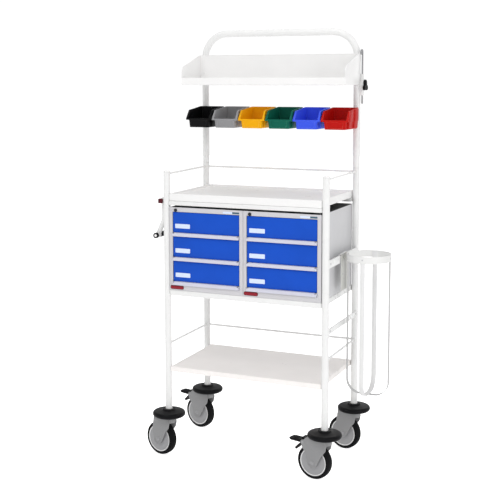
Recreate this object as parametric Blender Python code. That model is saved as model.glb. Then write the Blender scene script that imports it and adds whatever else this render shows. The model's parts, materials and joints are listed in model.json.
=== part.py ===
"""Ward equipment trolley on four casters, in metres.

The origin is on the floor in the middle of the overall box, with +X to the
right, +Y to the back and +Z up. Places are worked out from the centre of the
rectangle of legs, which lies MIDDLE to the left of the origin. Shapes are drawn
as closed meshes, joined or cut by exact Booleans, and placed so that a moving
piece has its origin on its joint's axis.
"""

import math

import bmesh
import bpy
from mathutils import Matrix, Vector

# The overall box's middle, from the centre of the legs
MIDDLE = 0.0220

# Frame
LEG_X = 0.300
LEG_Y = 0.167
TUBE_R = 0.0125
LEG_BOTTOM = 0.1713
LEG_TOP = 1.056
FIT = 0.0003

# Mast hoop above the rear legs
HOOP_TOP = 1.5456
HOOP_BEND_R = 0.090
SOCKET_Z = (1.314, 1.390)

# Square-tube rings between the legs
RING_X = 0.2870
RING_Y = 0.177
RING_SECTION = 0.020
INSET_RAIL_X = (0.150, 0.170)
WORKTOP_RING_Z = (0.9285, 0.9475)
CABINET_RING_Z = (0.604, 0.6243)

# Sheet-metal pieces
SHEET = 0.002
WORKTOP_Z = (0.948, 0.974)
SHELF_Z = (0.322, 0.341)
GALLERY_R = 0.004
WORKTOP_GALLERY_Z = 1.043
SHELF_GALLERY_Z = 0.422
TRAY_X = 0.315
TRAY_Y = (-0.014, 0.1538)
TRAY_Z = (1.356, 1.467)
TRAY_FRONT_TOP = 1.421
TRAY_LIP_TOP = 1.383

# Storage bins on their rail
BIN_COLOURS = ("black", "grey", "yellow", "green", "blue", "red")
BIN_PITCH = 0.1055
BIN_Z = (1.200, 1.2745)
BIN_LIP_Z = 1.2335
BIN_REAR = 0.1512
BIN_RAIL_Y = (0.1516, 0.1536)
BIN_RAIL_Z = (1.2335, 1.2715)

# Drawer units
UNIT_HALF = 0.1430
UNIT_X = 0.1434
UNIT_Z = (0.6247, 0.9225)
UNIT_Y = (-0.177, 0.1665)
UNIT_WALL = 0.0025
OPENING_HALF = 0.130
OPENING_Z = (0.6430, 0.9094)
DRAWER_PITCH = 0.0885
DRAWER_TOP = 0.9090
LOCK_IN = 0.026
LOCK_Z = 0.915

# Right side: flat rails, catheter basket, infusion rod
RAIL_X = (0.3055, 0.3105)
RAIL_Y = 0.1553
RAIL_UPPER_Z = (0.741, 0.768)
RAIL_LOWER_Z = (0.512, 0.532)
BASKET_X = 0.4005
BASKET_R = 0.078
BASKET_Z = (0.272, 0.775)
ROD_X = 0.3195
ROD_R = 0.003
ROD_Z = (1.288, 1.471)
KNOB_X = 0.3256
KNOB_Z = 1.351

# Left side: drop-down push handle
PIVOT_X = -0.3225
PIVOT_Z = 0.945
PIVOT_R = 0.004
GRIP_X = -0.349
GRIP_Z = 0.816
ARM_Y = 0.146

# Casters
WHEEL_R = 0.0625
WHEEL_HALF = 0.016
HUB_R = 0.050
TRAIL = 0.037
BUMPER_Z = (0.152, 0.171)
BUMPER_R = 0.060
CROWN_Z = (0.128, 0.1517)
PLATE_Y = (0.0190, 0.0232)
BRAKE_X = -0.074
BRAKE_Z = 0.129
CASTERS = {
    "front_left": (-1, -1, -14, False),
    "front_right": (1, -1, -9, True),
    "rear_left": (-1, 1, -15, True),
    "rear_right": (1, 1, -12, False),
}


def clear_scene():
    """Remove every object of the opened scene."""
    for obj in list(bpy.data.objects):
        bpy.data.objects.remove(obj)


def material(name, colour, roughness, metallic=0.0):
    """A Principled material in one colour."""
    made = bpy.data.materials.new(name)
    made.use_nodes = True
    shader = made.node_tree.nodes["Principled BSDF"]
    shader.inputs["Base Color"].default_value = (*colour, 1.0)
    shader.inputs["Roughness"].default_value = roughness
    shader.inputs["Metallic"].default_value = metallic
    made.diffuse_color = (*colour, 1.0)
    return made


def part(name, mesh, look, at=(0, 0, 0), turn=0.0):
    """Add one sub-part, whose mesh is drawn round its own origin."""
    mesh.name = name
    mesh.materials.clear()
    mesh.materials.append(look)
    mesh.shade_smooth()
    mesh.set_sharp_from_angle(angle=math.radians(32))
    obj = bpy.data.objects.new(name, mesh)
    obj.location = Vector(at) - Vector((MIDDLE, 0, 0))
    obj.rotation_euler.z = turn
    bpy.context.collection.objects.link(obj)
    return obj


# Closed primitive meshes


def finished(bm):
    """Face every face outwards and hand the mesh over."""
    bmesh.ops.recalc_face_normals(bm, faces=bm.faces)
    mesh = bpy.data.meshes.new("shape")
    bm.to_mesh(mesh)
    bm.free()
    return mesh


def skinned(rings, closed=False):
    """Join rings of equal length, and cap the ends unless they meet."""
    bm = bmesh.new()
    made = [[bm.verts.new(point) for point in ring] for ring in rings]
    pairs = list(zip(made, made[1:]))
    if closed:
        pairs.append((made[-1], made[0]))
    else:
        bm.faces.new(made[0])
        bm.faces.new(made[-1])
    for one, two in pairs:
        for i in range(len(one)):
            j = (i + 1) % len(one)
            bm.faces.new((one[i], one[j], two[j], two[i]))
    return finished(bm)


def box(x, y, z, ease=0.0, steps=1):
    """A box between the limits (low, high) of each axis, with eased edges."""
    bm = bmesh.new()
    size = [high - low for low, high in (x, y, z)]
    centre = [(high + low) / 2 for low, high in (x, y, z)]
    place = Matrix.Translation(centre) @ Matrix.Diagonal((*size, 1.0))
    bmesh.ops.create_cube(bm, size=1.0, matrix=place)
    if ease:
        bmesh.ops.bevel(
            bm, geom=bm.edges[:], offset=ease, segments=steps, profile=0.5,
            affect="EDGES", clamp_overlap=True,
        )
    return finished(bm)


AXIS_PLACES = {
    "X": lambda u, v, w: (w, u, v),
    "Y": lambda u, v, w: (u, w, v),
    "Z": lambda u, v, w: (u, v, w),
}


def prism(outline, axis, span):
    """A flat outline carried along one axis between two limits."""
    place = AXIS_PLACES[axis]
    return skinned([[place(u, v, w) for u, v in outline] for w in span])


def arc(centre, radius, start, end, steps):
    """Points on an arc, in degrees, both ends included."""
    turns = [math.radians(start + (end - start) * i / steps) for i in range(steps + 1)]
    return [(centre[0] + radius * math.cos(t), centre[1] + radius * math.sin(t)) for t in turns]


def circle(centre, radius, sides):
    """Points round a circle."""
    return arc(centre, radius, 0, 360, sides)[:-1]


def rounded(half_x, half_y, radius, steps=3):
    """A rectangle round the origin with rounded corners."""
    outline = []
    for sx, sy, start in ((1, 1, 0), (-1, 1, 90), (-1, -1, 180), (1, -1, 270)):
        middle = (sx * (half_x - radius), sy * (half_y - radius))
        outline += arc(middle, radius, start, start + 90, steps)
    return outline


def rod(axis, centre, radius, span, sides=20):
    """A round bar along one axis."""
    return prism(circle(centre, radius, sides), axis, span)


def turned(profile, sides):
    """Spin a closed profile of (radius, height) about Z."""
    bm = bmesh.new()
    points = [bm.verts.new((radius, 0, height)) for radius, height in profile]
    edges = [bm.edges.new((a, b)) for a, b in zip(points, points[1:])]
    if profile[0][0] > 0 and profile[-1][0] > 0:
        edges.append(bm.edges.new((points[-1], points[0])))
    bmesh.ops.spin(
        bm, geom=points + edges, cent=(0, 0, 0), axis=(0, 0, 1), dvec=(0, 0, 0),
        angle=math.tau, steps=sides, use_merge=True,
    )
    bmesh.ops.remove_doubles(bm, verts=bm.verts, dist=1e-6)
    return finished(bm)


def bent(corners, radius, steps):
    """A path through corners, each rounded to the radius."""
    points = [Vector(corner) for corner in corners]
    path = [points[0]]
    for before, corner, after in zip(points, points[1:], points[2:]):
        back = (before - corner).normalized()
        on = (after - corner).normalized()
        half = back.angle(on) / 2
        middle = corner + (back + on).normalized() * (radius / math.sin(half))
        start = corner + back * (radius / math.tan(half)) - middle
        axis = back.cross(on).normalized()
        for i in range(steps + 1):
            turn = Matrix.Rotation(-(math.pi - 2 * half) * i / steps, 3, axis)
            path.append(middle + turn @ start)
    return path + [points[-1]]


def swept(path, section, normal):
    """Carry a section (out of plane, in plane) along a path in one plane."""
    normal = Vector(normal)
    path = [Vector(point) for point in path]
    rings = []
    for i, point in enumerate(path):
        back = (point - path[max(i - 1, 0)]).normalized()
        on = (path[min(i + 1, len(path) - 1)] - point).normalized()
        along = (back + on).normalized()
        across = along.cross(normal)
        stretch = 1 / max(along.dot(on if i == 0 else back), 0.5)
        rings.append([point + normal * u + across * (v * stretch) for u, v in section])
    return skinned(rings)


def tube(path, radius, normal, sides=12):
    """A round bar bent along a path in one plane."""
    return swept(path, circle((0, 0), radius, sides), normal)


def combined(base, add=(), cut=()):
    """The mesh left after joining and then cutting, by exact Booleans."""
    body = bpy.data.objects.new("body", base)
    bpy.context.collection.objects.link(body)
    helpers = []
    for operation, meshes in (("UNION", add), ("DIFFERENCE", cut)):
        for mesh in meshes:
            helper = bpy.data.objects.new("helper", mesh)
            bpy.context.collection.objects.link(helper)
            step = body.modifiers.new("step", "BOOLEAN")
            step.operation = operation
            step.object = helper
            helpers.append(helper)
    graph = bpy.context.evaluated_depsgraph_get()
    result = bpy.data.meshes.new_from_object(body.evaluated_get(graph))
    for helper in (body, *helpers):
        bpy.data.objects.remove(helper)
    return result


# The welded frame


def gallery_path(height, front=-RAIL_Y + 0.0014):
    """From one front leg back through both rear legs to the other front leg."""
    corners = (
        (-LEG_X, front, height), (-LEG_X, LEG_Y, height),
        (LEG_X, LEG_Y, height), (LEG_X, front, height),
    )
    return bent(corners, 0.006, 3)


def leg():
    """A capped tube with a blind bore below for the caster's stem."""
    bore_top = 0.2055
    return turned(
        (
            (0, bore_top), (0.006, bore_top), (0.006, LEG_BOTTOM), (TUBE_R, LEG_BOTTOM),
            (TUBE_R, LEG_TOP - 0.0015), (TUBE_R - 0.0015, LEG_TOP), (0, LEG_TOP),
        ),
        20,
    )


def add_legs(paint):
    """Four legs; the gallery rods pass through the rear two."""
    for side, sign in (("left", -1), ("right", 1)):
        part(f"front_leg_{side}", leg(), paint, (sign * LEG_X, -LEG_Y, 0))
        tunnels = []
        for height in (WORKTOP_GALLERY_Z, SHELF_GALLERY_Z):
            tunnel = tube(gallery_path(height), GALLERY_R + FIT, (0, 0, 1))
            tunnel.transform(Matrix.Translation((-sign * LEG_X, -LEG_Y, 0)))
            tunnels.append(tunnel)
        part(f"rear_leg_{side}", combined(leg(), cut=tunnels), paint, (sign * LEG_X, LEG_Y, 0))


def add_mast(paint):
    """The hoop over the rear legs, with the rod's socket welded on its right."""
    corners = (
        (-LEG_X, LEG_Y, LEG_TOP + FIT), (-LEG_X, LEG_Y, HOOP_TOP),
        (LEG_X, LEG_Y, HOOP_TOP), (LEG_X, LEG_Y, LEG_TOP + FIT),
    )
    hoop = tube(bent(corners, HOOP_BEND_R, 7), TUBE_R, (0, 1, 0), 18)
    socket = box((LEG_X + TUBE_R - 0.002, 0.3250), (LEG_Y - 0.0065, LEG_Y + 0.0065), SOCKET_Z)
    bore = rod("Z", (ROD_X, LEG_Y), ROD_R + 0.0005, (SOCKET_Z[0] - 0.01, SOCKET_Z[1] + 0.01), 16)
    screw_hole = rod("X", (LEG_Y, KNOB_Z), 0.0030, (ROD_X, 0.3300), 12)
    part("mast_hoop", combined(hoop, [socket], [bore, screw_hole]), paint)


def ring(heights):
    """A flat ring of square tube between the legs."""
    outer = rounded(RING_X, RING_Y, 0.004, 2)
    inner = rounded(RING_X - RING_SECTION, RING_Y - RING_SECTION, 0.002, 2)
    low, high = heights
    rings = [
        [(x, y, low) for x, y in outer], [(x, y, high) for x, y in outer],
        [(x, y, high) for x, y in inner], [(x, y, low) for x, y in inner],
    ]
    return skinned(rings, closed=True)


def add_rings(paint):
    """The rails under the worktop, with the handle's lugs, and the cabinets' ring."""
    front, back = ((-RING_Y, RING_SECTION - RING_Y), (RING_Y - RING_SECTION, RING_Y))
    left = (-RING_X, RING_SECTION - RING_X)
    length = (-RING_Y + 0.001, RING_Y - 0.001)
    rails = [
        box((-RING_X, RING_X), back, WORKTOP_RING_Z),
        box(left, length, WORKTOP_RING_Z),
        box(INSET_RAIL_X, length, WORKTOP_RING_Z),
    ]
    lugs = []
    holes = []
    for y in (-0.128, 0.128):
        lug = arc((PIVOT_X, PIVOT_Z), 0.0085, 90, 270, 8)
        lug += [(-0.2860, PIVOT_Z - 0.0085), (-0.2860, PIVOT_Z + 0.0015)]
        lug += [(-0.2885, PIVOT_Z + 0.0015), (-0.2920, PIVOT_Z + 0.0085)]
        lugs.append(prism(lug, "Y", (y - 0.0025, y + 0.0025)))
        holes.append(rod("Y", (PIVOT_X, PIVOT_Z), PIVOT_R + FIT, (y - 0.01, y + 0.01), 16))
    base = box((-RING_X, RING_X), front, WORKTOP_RING_Z)
    part("worktop_frame", combined(base, [*rails, *lugs], holes), paint)
    part("cabinet_frame", ring(CABINET_RING_Z), paint)


def add_galleries(paint):
    """Guard rods round the left, back and right of the worktop and the shelf."""
    for name, height in (("worktop_gallery", WORKTOP_GALLERY_Z), ("lower_gallery", SHELF_GALLERY_Z)):
        part(name, tube(gallery_path(height), GALLERY_R, (0, 0, 1)), paint)


# Sheet-metal trays


def add_worktop(paint):
    """A folded top with a low rim, hollow below."""
    low, high = WORKTOP_Z
    top = prism(rounded(RING_X, RING_Y - 0.001, 0.004), "Z", WORKTOP_Z)
    inside = RING_X - SHEET
    dish = prism(rounded(inside - 0.006, RING_Y - 0.009, 0.004), "Z", (high - 0.008, high + 0.01))
    hollow = prism(rounded(inside, RING_Y - 0.003, 0.003), "Z", (low - 0.01, high - 0.010))
    part("worktop", combined(top, cut=[dish, hollow]), paint)


def add_lower_shelf(paint):
    """A folded shelf with its lip turned down."""
    low, high = SHELF_Z
    top = prism(rounded(RING_X, RING_Y, 0.004), "Z", SHELF_Z)
    hollow = prism(rounded(RING_X - SHEET, RING_Y - SHEET, 0.003), "Z", (low - 0.01, high - SHEET))
    part("lower_shelf", combined(top, cut=[hollow]), paint)


def add_upper_shelf(paint):
    """An open-fronted tray in front of the mast, with cheeks that rise to the back."""
    front, back = TRAY_Y
    low, high = TRAY_Z
    cheek = [(front + 0.004, low), (back, low), (back, high), (back - 0.012, high)]
    cheek += arc((front + 0.024, TRAY_FRONT_TOP - 0.019), 0.024, 105, 180, 5)
    cheek += [(front, low + 0.004)]
    body = prism(cheek, "X", (-TRAY_X, TRAY_X))
    inside = TRAY_X - SHEET
    hollow = box((-inside, inside), (front + SHEET, back - SHEET), (low + SHEET, high + 0.02))
    mouth = box((-inside, inside), (front - 0.02, front + 0.04), (TRAY_LIP_TOP, high + 0.02))
    part("upper_shelf", combined(body, cut=[hollow, mouth]), paint)


# Bins


def bin_mesh():
    """A hopper bin about its own centre line: a tapered box, a flange round its mouth, and a hook."""
    low, high = BIN_Z
    lip = BIN_LIP_Z
    inside = 0.0430

    def level(height, front_half, rear_half, front, rear):
        return [
            (-front_half, front, height), (front_half, front, height), (rear_half, rear, height),
            (-rear_half, rear, height),
        ]

    outer = skinned(
        [
            level(low, 0.0385, 0.0440, 0.0235, BIN_REAR),
            level(lip - 0.0073, 0.0402, 0.0448, 0.0205, BIN_REAR),
            level(lip - 0.0061, 0.0450, 0.0456, 0.0205, BIN_REAR),
            level(high, 0.0455, 0.0467, 0.0205, BIN_REAR),
        ]
    )
    rear = BIN_REAR - SHEET
    inner = skinned(
        [
            level(low + SHEET, 0.0363, 0.0418, 0.0258, rear),
            level(lip - 0.0060, 0.0380, 0.0426, 0.0228, rear),
            level(lip - 0.0044, inside - 0.0002, 0.0434, 0.0228, rear),
            level(high + 0.010, 0.0434, 0.0446, 0.0228, rear),
        ]
    )
    flange = [
        (0.0190, lip - 0.0060), (0.0190, lip + 0.0020), (0.0410, high - 0.0085), (0.0500, high - 0.0085),
        (0.0500, high - 0.0130), (0.0275, lip - 0.0040), (0.0235, lip - 0.0060),
    ]
    above = [
        (0.0150, lip), (0.0190, lip), (0.0425, high - 0.0105), (0.1600, high + 0.0023), (0.1600, high + 0.02),
        (0.0150, high + 0.02),
    ]
    mouth = box((-inside, inside), (0.0228, 0.060), (lip - 0.0040, high + 0.02))
    front = box((-inside, inside), (0.0100, 0.030), (lip, high + 0.02))
    reach = BIN_RAIL_Y[1] + 0.0004
    hook = [
        (BIN_REAR - 0.001, high - 0.006), (BIN_REAR - 0.001, high - 0.0004), (reach + 0.002, high - 0.0004),
        (reach + 0.002, high - 0.010), (reach, high - 0.010), (reach, high - 0.0022),
        (BIN_REAR, high - 0.0022), (BIN_REAR, high - 0.006),
    ]
    return combined(
        outer, [prism(flange, "X", (-0.0510, 0.0510)), prism(hook, "X", (-0.022, 0.022))],
        [inner, prism(above, "X", (-0.06, 0.06)), mouth, front],
    )


def add_bins(looks, steel):
    """Six bins, left to right, and the strip they hang on."""
    part("bin_rail", box((-0.312, 0.312), BIN_RAIL_Y, BIN_RAIL_Z), steel)
    shape = bin_mesh()
    for i, colour in enumerate(BIN_COLOURS):
        x = (i - 2.5) * BIN_PITCH
        part(f"bin_{colour}", shape.copy(), looks[colour], (x, 0, 0))


# Drawer units


def add_unit(side, centre, paint, dark):
    """One cabinet carcass with its drawer runners, and its lock."""
    low, high = UNIT_Z
    front, back = UNIT_Y
    inside = UNIT_HALF - UNIT_WALL
    carcass = box((-UNIT_HALF, UNIT_HALF), UNIT_Y, UNIT_Z)
    cavity = box((-inside, inside), (front + 0.003, back - UNIT_WALL), (low + UNIT_WALL, high - UNIT_WALL))
    opening = box((-OPENING_HALF, OPENING_HALF), (front - 0.01, front + 0.02), OPENING_Z)
    lock_x = -UNIT_HALF + LOCK_IN
    keyway = rod("Y", (lock_x, LOCK_Z), 0.0046, (front - 0.01, front + 0.01), 16)
    hollow = combined(carcass, cut=[cavity, opening, keyway])
    runners = []
    for i in range(3):
        top = DRAWER_TOP - i * DRAWER_PITCH - 0.0865
        for x in ((-inside - 0.0005, -0.1185), (0.1185, inside + 0.0005)):
            runners.append(box(x, (-0.169, 0.150), (top - SHEET, top)))
    part(f"cabinet_{side}", combined(hollow, runners), paint, (centre, 0, 0))
    barrel = rod("Y", (0, 0), 0.0042, (-0.0030, 0.0090), 16)
    face = rod("Y", (0, 0), 0.0060, (-0.0055, -0.0003), 16)
    cam = box((-0.002, 0.014), (0.0070, 0.0088), (-0.0025, 0.0025))
    slot = box((-0.0035, 0.0035), (-0.0070, -0.0040), (-0.0006, 0.0006))
    key_barrel = combined(face, [barrel, cam], [slot])
    part(f"lock_{side}", key_barrel, dark, (centre + lock_x, front, LOCK_Z))


def add_drawer(name, centre, top, tray_paint, front_paint):
    """A drawer box with its grip strip, and the coloured panel on its front."""
    half = 0.1265
    wall_front, wall_back = -0.1720, 0.140
    floor = top - 0.0862
    tray = box((-half, half), (wall_front, wall_back), (floor, top - 0.014))
    inside = half - SHEET
    hollow = box(
        (-inside, inside), (wall_front + SHEET, wall_back - SHEET), (floor + SHEET, top)
    )
    grip = box((-0.1285, 0.1285), (-0.1835, wall_front + 0.0012), (top - 0.0877, top - 0.0748))
    pull = box((-0.1200, 0.1200), (-0.1815, -0.1745), (top - 0.0900, top - 0.0775))
    tray = combined(combined(tray, [grip]), cut=[hollow, pull])
    part(f"drawer_{name}", tray, tray_paint, (centre, 0, 0))
    panel = box((-0.1285, 0.1285), (-0.1755, -0.1725), (top - 0.0742, top - 0.0008), 0.0008)
    part(f"drawer_front_{name}", panel, front_paint, (centre, 0, 0))


def add_drawer_units(paint, tray_paint, front_paint, dark):
    """Two units side by side, three drawers in each."""
    for side, centre in (("left", -UNIT_X), ("right", UNIT_X)):
        add_unit(side, centre, paint, dark)
        for i, place in enumerate(("top", "middle", "bottom")):
            top = DRAWER_TOP - i * DRAWER_PITCH
            add_drawer(f"{side}_{place}", centre, top, tray_paint, front_paint)


# Right side


def add_side_rails(paint):
    """Flat bars between the right legs."""
    for name, heights in (("side_rail_upper", RAIL_UPPER_Z), ("side_rail_lower", RAIL_LOWER_Z)):
        part(name, box(RAIL_X, (-RAIL_Y, RAIL_Y), heights), paint)


def band(bottom, normal):
    """A flat strip bent to a U, hanging from the ring."""
    reach = BASKET_R - 0.002
    across = Vector((0, 0, 1)).cross(Vector(normal))
    low = Vector((0, 0, bottom + 0.001))
    high = Vector((0, 0, BASKET_Z[1] - 0.004))
    corners = [-reach * across + high, -reach * across + low, reach * across + low, reach * across + high]
    strip = ((0.009, 0.001), (-0.009, 0.001), (-0.009, -0.001), (0.009, -0.001))
    return swept(bent(corners, 0.050, 6), strip, normal)


def add_basket(steel):
    """A ring with two crossed bands, on a plate that hooks over the upper rail."""
    low, high = BASKET_Z
    wall = 0.002
    hoop = turned(
        (
            (BASKET_R, high - 0.025), (BASKET_R, high),
            (BASKET_R - wall, high), (BASKET_R - wall, high - 0.025),
        ),
        32,
    )
    plate_x = RAIL_X[1] + 0.0015 - BASKET_X
    hook_x = RAIL_X[0] - 0.0020 - BASKET_X
    plate = box((plate_x, plate_x + 0.0025), (-0.040, 0.040), (0.642, 0.7715))
    top = box((hook_x, plate_x + 0.0020), (-0.0395, 0.0395), (0.7690, 0.7712))
    lip = box((hook_x - 0.0002, hook_x + 0.0015), (-0.0390, 0.0390), (0.7600, 0.7708))
    arm = box((plate_x + 0.0010, -BASKET_R + 0.0028), (-0.012, 0.012), (0.7530, 0.7680))
    bands = [band(low, (0, 1, 0)), band(low + 0.0012, (1, 0, 0))]
    shape = combined(hoop, [*bands, arm, plate, top, lip])
    part("catheter_basket", shape, steel, (BASKET_X, 0, 0))


def add_infusion_rod(steel, black):
    """A hooked rod in the mast's socket and the knob that clamps it."""
    low, high = ROD_Z
    corners = ((0, 0, low), (0, 0, high + 0.009), (0, -0.018, high + 0.009), (0, -0.018, high - 0.008))
    hooked = tube(bent(corners, 0.0085, 6), ROD_R, (1, 0, 0), 12)
    part("infusion_rod", hooked, steel, (ROD_X, LEG_Y, 0))
    lobes = []
    for i in range(36):
        turn = math.radians(10 * i)
        radius = 0.0185 + 0.0045 * math.cos(3 * turn)
        lobes.append((radius * math.sin(turn), radius * math.cos(turn)))
    knob = prism(lobes, "X", (0.0002, 0.0100))
    shank = rod("X", (0, 0), 0.0025, (-0.0024, 0.0010), 12)
    part("clamp_knob", combined(knob, [shank]), black, (KNOB_X, LEG_Y, KNOB_Z))


# Left side


def add_push_handle(paint, maroon):
    """Two cranked arms with a grip between them, and the pivot rod they swing on."""
    drop_x = GRIP_X - PIVOT_X
    drop_z = GRIP_Z - PIVOT_Z
    grip = rod("Y", (drop_x, drop_z), 0.010, (-0.166, 0.166), 18)
    pieces = []
    bores = []
    for y in (-ARM_Y, ARM_Y):
        corners = ((0, y, -0.004), (0, y, -0.070), (drop_x, y, drop_z))
        pieces.append(tube(bent(corners, 0.030, 3), 0.009, (0, 1, 0), 12))
        pieces.append(rod("Y", (0, 0), 0.0115, (y - 0.0095, y + 0.0095), 18))
        bores.append(rod("Y", (0, 0), PIVOT_R + FIT, (y - 0.02, y + 0.02), 16))
    part("push_handle", combined(grip, pieces, bores), paint, (PIVOT_X, 0, PIVOT_Z))
    pin = rod("Y", (0, 0), PIVOT_R, (-0.172, 0.172), 16)
    ends = [rod("Y", (0, 0), 0.0085, span, 18) for span in ((-0.178, -0.169), (0.169, 0.178))]
    part("handle_pivot", combined(pin, ends), maroon, (PIVOT_X, 0, PIVOT_Z))


# Casters


def fork(braked):
    """Crown, two cheeks, axle and stem, drawn about the swivel axis."""
    low, high = CROWN_Z
    nose = PLATE_Y[1]
    crown_plan = arc((0, 0), nose, -90, 90, 10) + [(-0.056, nose), (-0.056, -nose)]
    crown = prism(crown_plan, "Z", CROWN_Z)
    cheek = [(0.0120, high - 0.001), (-0.0545, high - 0.001)]
    if braked:
        cheek += [(-0.0640, 0.1450)]
        cheek += arc((BRAKE_X, BRAKE_Z), 0.0085, 70, 215, 6)
        cheek += [(-0.0740, 0.1080)]
    cheek += [(-0.0630, 0.0950)]
    cheek += arc((-TRAIL, WHEEL_R), 0.0200, 180, 325, 8)
    cheek += [(-0.0020, 0.0900), (0.0130, 0.1090), (0.0170, 0.1280)]
    sides = [prism(cheek, "Y", span) for span in (PLATE_Y, (-PLATE_Y[1] + 0.0001, -PLATE_Y[0]))]
    axle = rod("Y", (-TRAIL, WHEEL_R), 0.004, (-PLATE_Y[1] + 0.001, PLATE_Y[1] - 0.001), 12)
    stem = rod("Z", (0, 0), 0.0055, (high - 0.002, 0.2000), 12)
    holes = []
    if braked:
        holes.append(rod("Y", (BRAKE_X, BRAKE_Z), 0.0033, (-0.03, 0.03), 12))
    return combined(crown, [*sides, axle, stem], holes)


def hub():
    """Wheel centre about Y, with a raised boss and a plain bore."""
    rim = HUB_R - FIT
    profile = (
        (0.0043, -0.0170), (0.0140, -0.0170), (0.0200, -0.0130), (rim, -0.0150),
        (rim, 0.0150), (0.0200, 0.0130), (0.0140, 0.0170), (0.0043, 0.0170),
    )
    made = turned(profile, 32)
    made.transform(Matrix.Rotation(math.radians(90), 4, "X"))
    return made


def tyre():
    """Tread with rounded shoulders, about Y."""
    half = WHEEL_HALF
    profile = [(HUB_R, -half), (WHEEL_R - 0.0055, -half)]
    profile += [(WHEEL_R - 0.0012, -half + 0.0040), (WHEEL_R, -half + 0.0090)]
    profile += [(radius, -height) for radius, height in reversed(profile)]
    made = turned(profile, 32)
    made.transform(Matrix.Rotation(math.radians(90), 4, "X"))
    return made


def bumper():
    """Round buffer whose collar holds the leg's end, with a hole for the stem."""
    low, high = BUMPER_Z
    middle = (low + high) / 2
    half = (high - low) / 2
    rim = arc((BUMPER_R - half, middle), half, -90, 90, 5)
    collar = [(0.0245, high + 0.0040), (0.0230, high + 0.0095), (0.0130, high + 0.0095), (0.0130, high)]
    return turned([(0.0070, low), *rim, *collar, (0.0070, high)], 28)


def brake_pedal():
    """A rocker with a foot pad above, a release tab below and a heel, about its pin."""
    heel = box((-0.0090, 0.0145), (-0.0160, 0.0160), (0.0050, 0.0150), 0.0030)
    web = box((-0.0070, 0.0060), (-0.0165, 0.0165), (-0.0060, 0.0110))
    pad = prism(
        (
            (-0.0040, -0.0045), (-0.0040, 0.0040), (-0.0200, 0.0050), (-0.0560, 0.0070),
            (-0.0600, 0.0045), (-0.0605, 0.0005), (-0.0570, -0.0025), (-0.0200, -0.0045),
        ),
        "Y", (-0.0185, 0.0185),
    )
    tab = prism(
        ((0.0000, -0.0010), (-0.0080, 0.0010), (-0.0355, -0.0265), (-0.0350, -0.0310), (-0.0305, -0.0340)),
        "Y", (-0.0140, 0.0140),
    )
    pin = rod("Y", (0, 0), 0.0030, (-PLATE_Y[1], PLATE_Y[1]), 12)
    return combined(web, [heel, pad, tab, pin])


def add_casters(black, grey, rubber):
    """A bumper, fork, hub and tyre under each leg, and a pedal on two of them."""
    for name, (side, end, degrees, braked) in CASTERS.items():
        turn = math.radians(degrees)
        swivel = Vector((side * LEG_X, end * LEG_Y, 0))
        spun = Matrix.Rotation(turn, 3, "Z")
        axle = swivel + spun @ Vector((-TRAIL, 0, WHEEL_R))
        part(f"bumper_{name}", bumper(), black, swivel)
        part(f"fork_{name}", fork(braked), grey, swivel, turn)
        part(f"hub_{name}", hub(), grey, axle, turn)
        part(f"tyre_{name}", tyre(), rubber, axle, turn)
        if braked:
            pin = swivel + spun @ Vector((BRAKE_X, 0, BRAKE_Z))
            part(f"brake_pedal_{name}", brake_pedal(), black, pin, turn)


def main():
    """Build the whole trolley."""
    clear_scene()
    white = material("white_powder_coat", (0.86, 0.86, 0.85), 0.35)
    pale = material("pale_grey_paint", (0.66, 0.67, 0.74), 0.40)
    panel = material("side_panel_grey", (0.58, 0.58, 0.60), 0.45)
    blue = material("drawer_blue", (0.02, 0.08, 0.55), 0.35)
    black = material("black_plastic", (0.01, 0.01, 0.01), 0.45)
    maroon = material("maroon_plastic", (0.12, 0.01, 0.02), 0.40)
    grey = material("caster_grey", (0.33, 0.33, 0.34), 0.45)
    rubber = material("black_rubber", (0.015, 0.015, 0.015), 0.70)
    bins = {
        "black": material("bin_black", (0.010, 0.010, 0.010), 0.40),
        "grey": material("bin_grey", (0.20, 0.20, 0.22), 0.40),
        "yellow": material("bin_yellow", (0.85, 0.36, 0.01), 0.40),
        "green": material("bin_green", (0.01, 0.12, 0.06), 0.40),
        "blue": material("bin_blue", (0.04, 0.06, 0.60), 0.40),
        "red": material("bin_red", (0.55, 0.01, 0.005), 0.40),
    }
    add_legs(white)
    add_mast(white)
    add_rings(white)
    add_galleries(white)
    add_worktop(white)
    add_lower_shelf(white)
    add_upper_shelf(white)
    add_bins(bins, white)
    add_drawer_units(panel, pale, blue, black)
    add_side_rails(white)
    add_basket(white)
    add_infusion_rod(white, black)
    add_push_handle(white, maroon)
    add_casters(black, grey, rubber)


main()
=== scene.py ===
"""Ward equipment trolley: its looks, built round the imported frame.

Everything is in metres in the frame's axes: +X to the trolley's right, +Y to its back, +Z up.
Each piece stands for one or more nodes of the frame and rides on their body.
"""

import json
import math

import bmesh
import bpy
from mathutils import Matrix, Quaternion, Vector


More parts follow.
